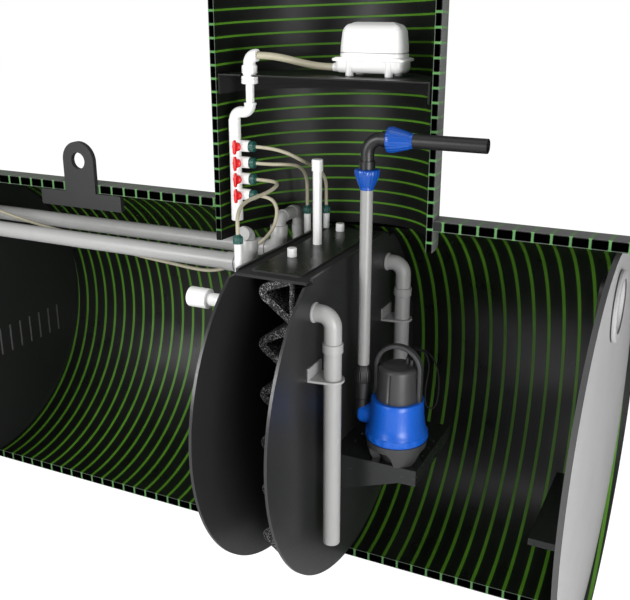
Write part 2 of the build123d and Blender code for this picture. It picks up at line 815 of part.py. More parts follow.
# Blower shelf: a half plate with a skirt, kept off the shaft wall by three cleats
skirt_height = 105
skirt_bottom = shelf_top - skirt_height
cleat_size = 60
cleat_overlap = 4
notch_clearance = 2
with BuildPart() as blower_shelf:
    with BuildSketch(Plane.XY.offset(shelf_top - shelf_thickness)):
        Circle(shelf_radius)
        with Locations((0, -shelf_radius)):
            Rectangle(2 * shelf_radius, 2 * shelf_radius, mode=Mode.SUBTRACT)
        with Locations((offset_x, manifold_y)):
            Circle(union_diameter / 2 + notch_clearance, mode=Mode.SUBTRACT)
    extrude(amount=shelf_thickness)
    with BuildSketch(Plane.XY.offset(skirt_bottom)):
        Circle(shelf_radius)
        Circle(shelf_radius - shelf_thickness, mode=Mode.SUBTRACT)
        with Locations((0, -shelf_radius)):
            Rectangle(2 * shelf_radius, 2 * shelf_radius, mode=Mode.SUBTRACT)
    extrude(amount=shelf_top - shelf_thickness - skirt_bottom)
    with BuildSketch(Plane.XY.offset(skirt_bottom)):
        with PolarLocations(shelf_radius, 3, 30, 120):
            Rectangle(cleat_size, cleat_size)
        Circle(shelf_radius - cleat_overlap, mode=Mode.SUBTRACT)
        Circle(shaft_bore_radius - fit, mode=Mode.INTERSECT)
    extrude(amount=cleat_size)
save(blower_shelf, "blower_shelf")

# Blower: feet, base with ribs, flange and a domed cover
blower_x = 204
blower_y = 230
base_length = 374
base_width = 160
base_corner = 14
foot_rise = 15
foot_diameter = 40
left_foot_reach = 113
right_foot_reach = 112
foot_reach_y = 45
foot_x = (blower_x - left_foot_reach, blower_x + right_foot_reach)
foot_y = (blower_y - foot_reach_y, blower_y + foot_reach_y)
base_bottom = shelf_top + foot_rise
base_height = 63
base_top = base_bottom + base_height
flange_height = 16
flange_top = base_top + flange_height
flange_overhang_x = 26
flange_length = base_length + flange_overhang_x
flange_overhang_y = 20
flange_width = base_width + flange_overhang_y
flange_corner = 20
rib_thickness = 6
rib_stand = 6
rib_spacing = 24
rib_foot_gap = 10
rib_bottom = base_bottom + rib_foot_gap
blower_port_diameter = 44
blower_port_x = -10
blower_port_y = 215
blower_port_rise = 25
blower_port_height = base_bottom + blower_port_rise
with BuildPart() as blower_base:
    with BuildSketch(Plane.XY.offset(base_bottom)):
        with Locations((blower_x, blower_y)):
            RectangleRounded(base_length, base_width, base_corner)
    extrude(amount=base_top - base_bottom)
    with BuildSketch(Plane.XY.offset(base_top)):
        with Locations((blower_x, blower_y)):
            RectangleRounded(flange_length, flange_width, flange_corner)
    extrude(amount=flange_top - base_top)
    with BuildSketch(Plane.XY.offset(shelf_top)):
        with Locations(*[(x, y) for x in foot_x for y in foot_y]):
            Circle(foot_diameter / 2)
    extrude(amount=foot_rise)
    # Stiffening ribs above each foot
    with BuildSketch(Plane.XY.offset(rib_bottom)):
        with Locations(*[(x, blower_y) for x in foot_x]):
            with GridLocations(rib_spacing, 1, 3, 1):
                Rectangle(rib_thickness, base_width + 2 * rib_stand)
    extrude(amount=base_top - rib_bottom)
    with BuildSketch(Plane.YZ.offset(blower_port_x)):
        with Locations((blower_port_y, blower_port_height)):
            Circle(blower_port_diameter / 2)
    extrude(amount=blower_x - base_length / 2 - blower_port_x)
save(blower_base, "blower_base")

cover_shift = 10
cover_x = blower_x + cover_shift
cover_length = 348
cover_height = 176
cover_corner = 34
dome_fillet = 32
cover_seam_rise = 26
cover_seam_bottom = flange_top + cover_seam_rise
cover_seam_width = 6
cover_seam_depth = 3
with BuildPart() as blower_cover:
    with BuildSketch(Plane.XY.offset(flange_top)):
        with Locations((cover_x, blower_y)):
            RectangleRounded(cover_length, base_width, cover_corner)
    extrude(amount=cover_height)
    fillet(blower_cover.faces().sort_by(Axis.Z)[-1].edges(), radius=dome_fillet)
    with BuildSketch(Plane.XY.offset(cover_seam_bottom)):
        with Locations((cover_x, blower_y)):
            RectangleRounded(cover_length, base_width, cover_corner)
            RectangleRounded(
                cover_length - 2 * cover_seam_depth,
                base_width - 2 * cover_seam_depth,
                cover_corner - cover_seam_depth,
                mode=Mode.SUBTRACT,
            )
    extrude(amount=cover_seam_width, mode=Mode.SUBTRACT)
save(blower_cover, "blower_cover")

# Discharge line: ribbed coupling, riser, elbow between two union nuts, open pipe
coupling_shift = 5
coupling_x = riser_line_x - coupling_shift
coupling_gap = 10
coupling_bottom = volute_top + coupling_gap
coupling_length = 175
coupling_top = coupling_bottom + coupling_length
coupling_rises = (30, 62, 72, 100, 110, 140)
coupling_foot_diameter = 80
coupling_rib_diameter = 101
coupling_groove_diameter = 89
coupling_neck_diameter = 78
elbow_leg = 150
lower_nut_top = elbow_height - elbow_leg
lower_nut_length = 104
riser_top = lower_nut_top - lower_nut_length
elbow_reach = 107
nut_inner_x = riser_line_x + elbow_reach
outer_nut_length = 130
nut_outer_x = nut_inner_x + outer_nut_length
small_nut = 70
large_nut = 130
nut_neck_length = 30
nut_cone_end = 62
nut_rim = 6
discharge_diameter = 70
discharge_length = 360
elbow_diameter = 66
discharge_bend_radius = 75

# The coupling's steps: its foot, three ribs with two grooves between, and its neck
with BuildPart() as riser_coupling:
    coupling_steps = [
        (coupling_foot_diameter, coupling_bottom + coupling_rises[0]),
        (coupling_rib_diameter, coupling_bottom + coupling_rises[1]),
        (coupling_groove_diameter, coupling_bottom + coupling_rises[2]),
        (coupling_rib_diameter, coupling_bottom + coupling_rises[3]),
        (coupling_groove_diameter, coupling_bottom + coupling_rises[4]),
        (coupling_rib_diameter, coupling_bottom + coupling_rises[5]),
        (coupling_neck_diameter, coupling_top),
    ]
    add(stepped_post((coupling_x, discharge_y, coupling_bottom), coupling_steps))
save(riser_coupling, "riser_coupling")

with BuildPart() as discharge_riser:
    add(stepped_post((riser_line_x, discharge_y, coupling_top), [(riser_diameter, riser_top)]))
save(discharge_riser, "discharge_riser")

with BuildPart() as discharge_nuts:
    lower_axis = Plane(
        origin=(riser_line_x, discharge_y, riser_top), x_dir=(1, 0, 0), z_dir=(0, -1, 0)
    )
    outer_axis = Plane(
        origin=(nut_outer_x, discharge_y, elbow_height), x_dir=(0, 0, 1), z_dir=(0, -1, 0)
    )
    nuts = ((lower_axis, lower_nut_top - riser_top), (outer_axis, nut_outer_x - nut_inner_x))
    for plane, length in nuts:
        with BuildSketch(plane):
            with BuildLine():
                Polyline(
                    (0, 0),
                    (small_nut / 2, 0),
                    (small_nut / 2, nut_neck_length),
                    (large_nut / 2 - nut_rim, nut_cone_end),
                    (large_nut / 2, nut_cone_end),
                    (large_nut / 2, length - nut_rim),
                    (large_nut / 2 - nut_rim, length),
                    (0, length),
                    close=True,
                )
            make_face()
        revolve(axis=Axis(plane.origin, plane.y_dir))
save(discharge_nuts, "discharge_nuts")

with BuildPart() as discharge_elbow:
    discharge_run = [
        (riser_line_x, discharge_y, lower_nut_top),
        (riser_line_x, discharge_y, elbow_height),
        (nut_inner_x, discharge_y, elbow_height),
    ]
    add(bent_pipe(discharge_run, discharge_bend_radius, elbow_diameter))
save(discharge_elbow, "discharge_elbow")

with BuildPart() as discharge_pipe:
    with BuildSketch(Plane.YZ.offset(nut_outer_x)):
        with Locations((discharge_y, elbow_height)):
            Circle(discharge_diameter / 2)
            Circle(discharge_diameter / 2 - pipe_wall, mode=Mode.SUBTRACT)
    extrude(amount=discharge_length)
save(discharge_pipe, "discharge_pipe")

# Pump deck: a plate with a front lip, and a gusset against the disc
deck_hole_diameter = 18
deck_hole_inset = 24
deck_hole_row_gap = 390
deck_hole_x = (deck_end - deck_hole_inset - deck_hole_row_gap, deck_end - deck_hole_inset)
deck_hole_y = (72, -17, -114, -231)
gusset_height = 231
gusset_bottom = deck_top - gusset_height
gusset_set_back = 92
gusset_front = deck_end - gusset_set_back
with BuildPart() as pump_deck:
    with BuildSketch(Plane.XY.offset(deck_top - deck_plate)):
        with Locations(((reactor_face + deck_end) / 2, 0)):
            Rectangle(deck_end - reactor_face, 2 * deck_half_width)
        with Locations(*[(x, y) for x in deck_hole_x for y in deck_hole_y]):
            Circle(deck_hole_diameter / 2, mode=Mode.SUBTRACT)
    extrude(amount=deck_plate)
    for face_y in (-deck_half_width, deck_half_width - deck_plate):
        with BuildSketch(Plane.XZ.offset(-face_y - deck_plate)):
            with BuildLine():
                Polyline(
                    (reactor_face, deck_top - deck_plate),
                    (reactor_face, gusset_bottom),
                    (gusset_front, deck_top - deck_lip),
                    (deck_end, deck_top - deck_lip),
                    (deck_end, deck_top - deck_plate),
                    close=True,
                )
            make_face()
        extrude(amount=deck_plate)
    with BuildSketch(Plane.YZ.offset(reactor_face)):
        with Locations((0, (gusset_bottom + deck_top - deck_plate) / 2)):
            Rectangle(2 * deck_half_width, deck_top - deck_plate - gusset_bottom)
    extrude(amount=deck_plate)
    with BuildSketch(Plane.YZ.offset(deck_end - deck_plate)):
        with Locations((0, deck_top - deck_lip / 2)):
            Rectangle(2 * deck_half_width, deck_lip)
    extrude(amount=deck_plate)
save(pump_deck, "pump_deck")

# Pump: strainer foot, volute with its outlet bend, motor, handle
strainer_radius = 160
strainer_ring_radius = 146
strainer_ring_wall = 20
strainer_plate = 16
strainer_slots = 6
strainer_slot_width = 95
strainer_slot_height = 26
with BuildPart() as pump_base:
    with BuildSketch(Plane.XY.offset(deck_top)):
        with Locations((pump_x, pump_y)):
            Circle(strainer_ring_radius)
            Circle(strainer_ring_radius - strainer_ring_wall, mode=Mode.SUBTRACT)
    extrude(amount=strainer_top - deck_top)
    with BuildSketch(Plane.XY.offset(strainer_top - strainer_plate)):
        with Locations((pump_x, pump_y)):
            Circle(strainer_radius)
    extrude(amount=strainer_plate)
    with BuildSketch(Plane.XY.offset(deck_top)):
        with Locations((pump_x, pump_y)):
            with PolarLocations(strainer_ring_radius, strainer_slots, 30):
                Rectangle(3 * strainer_ring_wall, strainer_slot_width)
    extrude(amount=strainer_slot_height, mode=Mode.SUBTRACT)
save(pump_base, "pump_base")

outlet_rise = 155
outlet_height = strainer_top + outlet_rise
outlet_diameter = 84
outlet_bend_radius = 50
outlet_start_reach = 60
outlet_start_x = pump_x - outlet_start_reach
volute_foot_radius = 138
volute_radius = 165
volute_bulge_rise = 70
volute_bulge_height = strainer_top + volute_bulge_rise
volute_lip_radius = 160
volute_lip_rise = 30
volute_waist_radius = 151
volute_waist_rise = 145
volute_lip = (volute_lip_radius, strainer_top + volute_lip_rise)
volute_waist = (volute_waist_radius, strainer_top + volute_waist_rise)
volute_rim_radius = 133
volute_step_radius = 100
with BuildPart() as pump_volute:
    with BuildSketch(Plane(origin=(pump_x, pump_y, 0), x_dir=(1, 0, 0), z_dir=(0, -1, 0))):
        with BuildLine() as side:
            foot = Line((0, strainer_top), (volute_foot_radius, strainer_top))
            lower = ThreePointArc(foot @ 1, volute_lip, (volute_radius, volute_bulge_height))
            upper = ThreePointArc(lower @ 1, volute_waist, (volute_rim_radius, volute_top))
            shoulder = Line(upper @ 1, (volute_step_radius, volute_top))
            step = Line(shoulder @ 1, (volute_step_radius, motor_bottom))
            top = Line(step @ 1, (0, motor_bottom))
            Line(top @ 1, foot @ 0)
        make_face()
    revolve(axis=Axis((pump_x, pump_y, 0), (0, 0, 1)))
    outlet_run = [
        (outlet_start_x, discharge_y, outlet_height),
        (coupling_x, discharge_y, outlet_height),
        (coupling_x, discharge_y, coupling_bottom),
    ]
    add(bent_pipe(outlet_run, outlet_bend_radius, outlet_diameter))
save(pump_volute, "pump_volute")

motor_diameter = 205
motor_height = 256
motor_top = motor_bottom + motor_height
motor_rim_width = 24
motor_rim_height = 14
flute_width = 14
flute_depth = 12
flute_clearance = 40
flute_end = motor_top - flute_clearance
with BuildPart() as pump_motor:
    with BuildSketch(Plane.XY.offset(motor_bottom)):
        with Locations((pump_x, pump_y)):
            Circle(motor_diameter / 2)
    extrude(amount=motor_top - motor_bottom)
    rim = pump_motor.faces().sort_by(Axis.Z)[-1].edges()
    chamfer(rim, length=motor_rim_width, length2=motor_rim_height)
    with BuildSketch(Plane.XY.offset(motor_bottom)):
        with Locations((pump_x, pump_y)):
            with PolarLocations(motor_diameter / 2, 4, -120):
                Rectangle(2 * flute_depth, flute_width)
    extrude(amount=flute_end - motor_bottom, mode=Mode.SUBTRACT)
save(pump_motor, "pump_motor")

# Strap handle: an arch from side to side of the volute's top
handle_half_span = 119
handle_rise = 86
handle_top = motor_top + handle_rise
strap = 22
strap_depth = 40
strap_fillet = 4
with BuildPart() as pump_handle:
    with BuildSketch(Plane.XZ.offset(-pump_y - strap_depth / 2)):
        with BuildLine():
            spring = handle_top - handle_half_span - strap / 2
            left_leg = Line((pump_x - handle_half_span, volute_top), (pump_x - handle_half_span, spring))
            arch = ThreePointArc(
                left_leg @ 1,
                (pump_x, handle_top - strap / 2),
                (pump_x + handle_half_span, spring),
            )
            Line(arch @ 1, (pump_x + handle_half_span, volute_top))
        trace(line_width=strap)
    extrude(amount=strap_depth)
    fillet(pump_handle.edges().filter_by(GeomType.CIRCLE), radius=strap_fillet)
save(pump_handle, "pump_handle")

# Gland in the partition for the long air hose
gland_rise = 31
gland_height = lid_bottom + gland_rise
gland_diameter = 34
gland_length = 24
gland_start = partition_x + partition_thickness
gland_end = gland_start + gland_length
with BuildPart() as hose_gland:
    with BuildSketch(Plane.YZ.offset(gland_start)):
        with Locations((0, gland_height)):
            Circle(gland_diameter / 2)
    extrude(amount=gland_length)
save(hose_gland, "hose_gland")

# Hoses, each by the corners of its route from fitting to fitting
blower_route = [
    (hose_start_x, manifold_y, hose_start_height),
    (-315, manifold_y, hose_start_height),
    (-240, 73, 2877),
    (-143, 183, 2839),
    (-68, blower_port_y, blower_port_height),
    (blower_port_x, blower_port_y, blower_port_height),
]
hose("blower_hose", blower_route, blower_hose_diameter)

air_routes = [
    [
        (branch_nut_end, manifold_y, branch_heights[0]),
        (-310, manifold_y, branch_heights[0]),
        (-225, 85, 2378),
        (-172, 165, 2325),
        (-155, 260, 2285),
        (-152, 360, 2240),
        (-158, 440, 2170),
        (lid_tube_x, lid_tube_y, 2085),
        (lid_tube_x, lid_tube_y, lid_tube_top),
    ],
    [
        (branch_nut_end, manifold_y, branch_heights[1]),
        (-320, manifold_y, branch_heights[1]),
        (-250, 90, 2312),
        (-222, 175, 2298),
        (-220, 260, 2262),
        (-228, 328, 2200),
        (drop_tube_x, rear_tube_y, 2115),
        (drop_tube_x, rear_tube_y, rear_tube_top),
    ],
    [
        (branch_nut_end, manifold_y, branch_heights[2]),
        (-325, manifold_y, branch_heights[2]),
        (-250, 10, 2226),
        (-212, -70, 2220),
        (-222, -160, 2203),
        (-240, -230, 2195),
        (-262, -300, 2185),
        (-262, -370, 2165),
        (-245, -428, 2130),
        (drop_tube_x, front_tube_y, 2085),
        (drop_tube_x, front_tube_y, front_tube_top),
    ],
    [
        (branch_nut_end, manifold_y, branch_heights[3]),
        (-312, manifold_y, branch_heights[3]),
        (-254, 16, 2090),
        (-254, -2, 2010),
        (-285, -4, 1950),
        (-330, -2, 1900),
        (-420, 0, 1830),
        (-500, 2, 1760),
        (-590, 0, 1695),
        (-700, -2, 1668),
        (-820, 0, 1668),
        (-980, 2, 1681),
        (-1190, 0, 1696),
        (-1440, -2, 1730),
        (-1700, 0, 1778),
        (-1960, 2, 1806),
        (-2200, 0, 1843),
        (-2420, 0, gland_height),
        (gland_end, 0, gland_height),
    ],
]
for number, air_route in enumerate(air_routes, 1):
    hose(f"air_hose_{number}", air_route, air_hose_diameter)

# Pump cable: it leaves the motor's top, hangs beside the handle and comes back to the top
cable_diameter = 8
cable_route = [
    (612, -150, motor_top),
    (612, -150, 1460),
    (672, -142, 1462),
    (700, -140, 1415),
    (708, -155, 1350),
    (702, -178, 1290),
    (706, -195, 1235),
    (716, -203, 1176),
    (762, -203, 1176),
    (776, -196, 1238),
    (774, -180, 1310),
    (756, -155, 1380),
    (712, -122, 1432),
    (650, -112, 1455),
    (582, -130, 1462),
    (582, -130, motor_top),
]
hose("pump_cable", cable_route, cable_diameter)
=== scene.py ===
# %% [markdown]
# A packaged sewage treatment plant: a round tank wound from a hollow plastic strip, laid on its
# side and cut open along its axis, with a shaft on its crown. Through the cut you see a reactor
# between two discs, pipes, an air manifold with its hoses, a blower on a shelf and a pump.
# The solids come in as a fixed frame, in metres: x along the tank, y back from the cut, z up.
# Flat pieces keep their solid and get a finish. Round and moulded ones are made again here as
# smooth surfaces, with the finer forms that the photograph shows.

# %% Load the frame
from math import pi, radians

import bpy
import numpy as np
from mathutils import Matrix


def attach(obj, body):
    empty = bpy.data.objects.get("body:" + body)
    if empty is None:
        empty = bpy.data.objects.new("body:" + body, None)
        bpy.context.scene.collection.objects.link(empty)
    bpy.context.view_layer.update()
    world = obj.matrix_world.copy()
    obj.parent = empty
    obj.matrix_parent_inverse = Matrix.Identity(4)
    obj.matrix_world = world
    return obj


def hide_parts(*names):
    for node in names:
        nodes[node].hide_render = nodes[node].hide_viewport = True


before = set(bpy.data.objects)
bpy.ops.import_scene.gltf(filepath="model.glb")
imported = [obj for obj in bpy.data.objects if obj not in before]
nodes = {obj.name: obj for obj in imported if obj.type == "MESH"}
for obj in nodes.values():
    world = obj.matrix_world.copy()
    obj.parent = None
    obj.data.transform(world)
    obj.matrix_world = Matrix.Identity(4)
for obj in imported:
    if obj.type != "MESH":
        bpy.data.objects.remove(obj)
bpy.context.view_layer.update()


def add(name, data):
    """New object in the scene, at the origin."""
    made = bpy.data.objects.new(name, data)
    bpy.context.scene.collection.objects.link(made)
    return made


# %% [markdown]
# The camera comes first, because everything after it is judged in its view. It stands above the
# right end and looks along the tank and down into the cut. A lens of 50 mm on a 36 mm sensor is
# a plain normal lens, and the photograph's lines fit it.

# %% Camera
degrees_down = 18.86
degrees_left = 25.77
camera_data = bpy.data.cameras.new("camera")
camera_data.lens = 50
camera_data.sensor_width = 36
camera_data.clip_end = 100
camera = add("camera", camera_data)
camera.location = (1.9796, -4.1363, 3.1583)
camera.rotation_euler = (radians(90 - degrees_down), 0, radians(degrees_left))
bpy.context.scene.camera = camera
print("camera at", tuple(camera.location))

# %% [markdown]
# A hose is a fixed length of something flexible, so each one is a smooth curve pulled towards a
# few listed points: straight out of its nut, over and down, and straight into the next
# fitting. The ends have names, because the fittings are made from them too.

# %% Hoses and cable
valve_y = 0.040
valve_heights = (2.405, 2.315, 2.225, 2.135)
nut_mouth_x = -0.392
front_tube = (-0.2355, -0.445, 2.044)
middle_tube = (-0.2355, 0.350, 2.035)
back_tube = (-0.175, 0.480, 2.016)
elbow_mouth = (-0.373, valve_y, 2.888)
blower_mouth = (-0.010, 0.215, 2.828)
gland_mouth = (-2.561, 0.000, 1.892)
cable_start = (0.612, -0.150, 1.402)
cable_end = (0.582, -0.130, 1.402)


def hose(name, diameter, length, points):
    """Round hose on a quadratic B-spline, all in metres.

    Such a line is a row of parabolas, each touching the legs between the points.
    """
    curve = bpy.data.curves.new(name, "CURVE")
    curve.dimensions = "3D"
    curve.bevel_depth = 1.0
    curve.bevel_resolution = 6
    curve.resolution_u = 10
    curve.use_fill_caps = True
    line = curve.splines.new("NURBS")
    line.points.add(len(points) - 1)
    flat = np.ones((len(points), 4))
    flat[:, :3] = points
    line.points.foreach_set("co", flat.ravel())
    line.points.foreach_set("radius", np.full(len(points), diameter / 2))
    line.order_u = 3
    line.use_endpoint_u = True
    made = add(name + "_line", curve)
    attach(made, "plant")
    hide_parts(name)
    print(name, len(points), "points", length, "m")
    return made


def air_hose(number, length, path):
    """Air hose 1 to 4, counted down from the top valve, from its nut along the path."""
    start = (nut_mouth_x, valve_y, valve_heights[number - 1])
    return hose(f"air_hose_{number}", 0.020, length, [start, *path])


blower_hose = hose("blower_hose", 0.038, 0.428, [
    elbow_mouth, (-0.315, 0.040, 2.888), (-0.240, 0.073, 2.877),
    (-0.143, 0.183, 2.839), (-0.068, 0.215, 2.828), blower_mouth,
])
air_hoses = [
    air_hose(1, 0.768, [
        (-0.310, 0.040, 2.405), (-0.225, 0.085, 2.378), (-0.172, 0.165, 2.325),
        (-0.155, 0.260, 2.285), (-0.152, 0.360, 2.240), (-0.158, 0.440, 2.170),
        (-0.175, 0.480, 2.085), back_tube,
    ]),
    air_hose(2, 0.592, [
        (-0.320, 0.040, 2.315), (-0.250, 0.090, 2.312), (-0.222, 0.175, 2.298),
        (-0.220, 0.260, 2.262), (-0.228, 0.328, 2.200), (-0.2355, 0.350, 2.115),
        middle_tube,
    ]),
    air_hose(3, 0.698, [
        (-0.325, 0.040, 2.225), (-0.250, 0.010, 2.226), (-0.212, -0.070, 2.220),
        (-0.222, -0.160, 2.203), (-0.240, -0.230, 2.195), (-0.262, -0.300, 2.185),
        (-0.262, -0.370, 2.165), (-0.245, -0.428, 2.130), (-0.2355, -0.445, 2.085),
        front_tube,
    ]),
    air_hose(4, 2.685, [
        (-0.312, 0.040, 2.135), (-0.254, 0.016, 2.090), (-0.254, -0.002, 2.010),
        (-0.285, -0.004, 1.950), (-0.330, -0.002, 1.900), (-0.420, 0.000, 1.830),
        (-0.500, 0.002, 1.760), (-0.590, 0.000, 1.695), (-0.700, -0.002, 1.668),
        (-0.820, 0.000, 1.668), (-0.980, 0.002, 1.681), (-1.190, 0.000, 1.696),
        (-1.440, -0.002, 1.730), (-1.700, 0.000, 1.778), (-1.960, 0.002, 1.806),
        (-2.200, 0.000, 1.843), (-2.420, 0.000, 1.892), gland_mouth,
    ]),
]
pump_cable = hose("pump_cable", 0.008, 0.908, [
    cable_start, (0.612, -0.150, 1.460), (0.672, -0.142, 1.462),
    (0.700, -0.140, 1.415), (0.708, -0.155, 1.350), (0.702, -0.178, 1.290),
    (0.706, -0.195, 1.235), (0.716, -0.203, 1.176), (0.762, -0.203, 1.176),
    (0.776, -0.196, 1.238), (0.774, -0.180, 1.310), (0.756, -0.155, 1.380),
    (0.712, -0.122, 1.432), (0.650, -0.112, 1.455), (0.582, -0.130, 1.462), cable_end,
])

# %% [markdown]
# A finish is a set of shader nodes. Adding them one by one hides the idea, so one small class
# stands for a socket and lets a pattern be written as arithmetic, such as 1 - abs(x) * 2.
# A second class stands for the finish: it adds any other node by its type, and sets what is
# the same all over the piece straight on the shader.

# %% Shader arithmetic
def operator(operation):
    """Method that adds one Math node over the term itself and what the operator takes."""
    return lambda self, *other: self.finish.maths(operation, self, *other)


class Term:
    """One output socket of a finish. Its operators add Math nodes."""

    __add__ = __radd__ = operator("ADD")
    __sub__ = operator("SUBTRACT")
    __mul__ = __rmul__ = operator("MULTIPLY")
    __truediv__ = operator("DIVIDE")
    __gt__ = operator("GREATER_THAN")
    __lt__ = operator("LESS_THAN")
    __abs__ = operator("ABSOLUTE")

    def __init__(self, finish, socket):
        self.finish = finish
        self.socket = socket

    def __rsub__(self, other):
        return self.finish.maths("SUBTRACT", other, self)


class Finish:
    """A material under construction, with the shader's constants given by socket name."""

    def __init__(self, name, colour, roughness, **constants):
        self.material = bpy.data.materials.new(name)
        self.material.use_nodes = True
        self.tree = self.material.node_tree
        self.shader = self.tree.nodes["Principled BSDF"]
        self.shader.inputs["Base Color"].default_value = (*colour, 1)
        self.shader.inputs["Roughness"].default_value = roughness
        for socket, value in constants.items():
            self.shader.inputs[socket.replace("_", " ")].default_value = value
        self.place = self.node("ShaderNodeTexCoord", {}, {}, "Object")
        self.x = self.node("ShaderNodeSeparateXYZ", {}, {0: self.place}, "X")
        self.y = Term(self, self.x.socket.node.outputs["Y"])
        self.z = Term(self, self.x.socket.node.outputs["Z"])

    def node(self, kind, settings, inputs, output=0):
        """Add one node: its settings first, then its inputs, each a Term, a number or a colour."""
        made = self.tree.nodes.new(kind)
        for key, value in settings.items():
            setattr(made, key, value)
        for key, value in inputs.items():
            if isinstance(value, Term):
                self.tree.links.new(value.socket, made.inputs[key])
            else:
                made.inputs[key].default_value = value
        return Term(self, made.outputs[output])

    def maths(self, operation, *inputs):
        """One Math node over one or two terms or numbers."""
        return self.node("ShaderNodeMath", {"operation": operation}, dict(enumerate(inputs)))

    def distance(self, first, second):
        """Root of the sum of the squares of two steps at a right angle."""
        return self.maths("SQRT", first * first + second * second)

    def noise(self, scale, detail=3.0, place=None):
        """Cloudy noise between 0 and 1, scale in cycles a metre."""
        inputs = {"Vector": place or self.place, "Scale": scale, "Detail": detail}
        return self.node("ShaderNodeTexNoise", {}, inputs)

    def blend(self, share, first, second):
        """Colour that goes from first to second as share goes from 0 to 1."""
        first, second = (
            (*colour, 1) if isinstance(colour, tuple) else colour for colour in (first, second)
        )
        inputs = {0: share, 6: first, 7: second}
        return self.node("ShaderNodeMix", {"data_type": "RGBA"}, inputs, 2)

    def clamp(self, value):
        return self.node("ShaderNodeClamp", {}, {0: value})

    def feed(self, socket, value):
        self.tree.links.new(value.socket, self.shader.inputs[socket])

    def bump(self, height, depth):
        """Raise the surface by height times depth, in metres, for the shading only."""
        inputs = {"Strength": 1.0, "Distance": depth, "Height": height}
        self.feed("Normal", self.node("ShaderNodeBump", {}, inputs))


# %% [markdown]
# The tank's wall is wound from a black strip with a green seam, so a green line runs round it
# as a screw thread, one pitch along for each half turn. That is a formula on the object's own
# coordinates, so the line stays on the wall in every view. In the cut the wall shows light
# green ribs, wider at both skins, between its hollow cells, and a painted highlight: a paler
# line along the inner skin. Deeper in, the cells are painted near-black as painted shade, and
# they are metal, because that gives no highlight.

# %% Winding finish
tank_axis = 1.0534
tank_bore = 1.0
tank_skin = 1.0534
shaft_bore = 0.6093
shaft_skin = 0.6447
wall_black = (0.003, 0.0034, 0.003), (0.007, 0.0076, 0.0068)
line_green = (0.050, 0.155, 0.008), (0.100, 0.270, 0.018)
halo_green = (0.010, 0.042, 0.004)
outer_grey = (0.115, 0.12, 0.115), (0.165, 0.17, 0.165)
outer_line = (0.15, 0.27, 0.12)
rib_green = (0.070, 0.200, 0.060), (0.115, 0.280, 0.095)
cut_black = (0.006, 0.0066, 0.006)
# Painted highlight: a paler line along the inner skin in the cut.
skin_highlight_grey = (0.10, 0.13, 0.10)
# Painted shade: the hollow cells behind the cut are near-black.
cell_shade_black = (0.0012, 0.0012, 0.0012)
face_margin = 0.0008
cut_margin = 0.0006
line_edge = 0.0012
rib_edge = 0.0016
rib_half = 0.0056
rib_flare = 0.0065
skin_middle = 0.0024
skin_half = 0.0016


def winding(name, place, pitch, start, inner, outer, line_width, dullness, shine):
    """Black wall with a green line where (along - start) / pitch - turn is a whole number.

    place gives along, turn and the distance from the axis. off_line is how far a point is from
    the nearest line. In the cut a rib reaches rib_half to each side of its line, and rib_flare
    times flare squared more, where flare goes from 0 to 1 near a skin.
    """
    finish = Finish(name, cut_black, dullness, Specular_IOR_Level=shine)
    along, turn, from_axis = place(finish)
    lane = (along - start) / pitch - turn
    off_line = abs(finish.maths("FRACT", lane + 100.5) - 0.5) * pitch
    line = finish.clamp((line_width / 2 - off_line) / line_edge + 0.5)
    halo = finish.clamp(1.0 - off_line / (line_width * 1.6))
    inside = from_axis < inner + face_margin
    outside = from_axis > outer - face_margin
    in_wall = (1.0 - inside) * (1.0 - outside)
    in_cut = finish.y < cut_margin
    reach = abs(from_axis - (inner + outer) / 2) / ((outer - inner) / 2)
    flare = finish.clamp((reach - 0.55) * 2.2)
    rib = finish.clamp((rib_half + rib_flare * flare * flare - off_line) / rib_edge + 0.5)
    # Painted highlight: a thin paler line along the inner skin, on the cut face.
    off_skin = abs(from_axis - (inner + skin_middle))
    skin_highlight = finish.clamp((skin_half - off_skin) / (skin_half / 2))
    cloud = finish.noise(7.0)
    grain = finish.noise(160.0, 2.0)

    black = finish.blend(halo * 0.3, finish.blend(cloud, *wall_black), halo_green)
    bore = finish.blend(line, black, finish.blend(cloud, *line_green))
    skin = finish.blend(line, finish.blend(cloud, *outer_grey), outer_line)
    between = finish.blend(skin_highlight, cut_black, skin_highlight_grey)
    cut = finish.blend(rib, between, finish.blend(cloud, *rib_green))
    # Painted shade: off the cut face the cells' walls are near-black.
    wall = finish.blend(in_cut, cell_shade_black, cut)
    finish.feed("Base Color", finish.blend(in_wall, finish.blend(outside, bore, skin), wall))
    rough = dullness + 0.16 * cloud + 0.12 * line + 0.2 * outside + 0.5 * in_wall
    finish.feed("Roughness", finish.clamp(rough))
    finish.feed("Metallic", in_wall * (1.0 - in_cut))
    finish.bump(line * 0.6 + grain * 0.12, 0.0012)
    return finish.material


def tank_place(finish):
    """Along is x. Turn counts half turns: 0 at the crown, 1 at the lowest line."""
    level = finish.z - tank_axis
    turn = 0.5 - finish.maths("ARCTAN2", level, finish.y) / pi
    return finish.x, turn, finish.distance(finish.y, level)


def shaft_place(finish):
    """Along is z. Turn counts half turns: 0 at the cut's left edge, 1 at its right edge."""
    turn = finish.maths("ARCTAN2", finish.y, 0.0 - finish.x) / pi
    return finish.z, turn, finish.distance(finish.x, finish.y)


tank_finish = winding(
    "tank_winding", tank_place, pitch=0.090, start=-0.024, inner=tank_bore, outer=tank_skin,
    line_width=0.0195, dullness=0.22, shine=0.50,
)
shaft_finish = winding(
    "shaft_winding", shaft_place, pitch=0.070, start=1.992, inner=shaft_bore, outer=shaft_skin,
    line_width=0.011, dullness=0.36, shine=0.25,
)
print("winding finishes", tank_finish.name, shaft_finish.name)
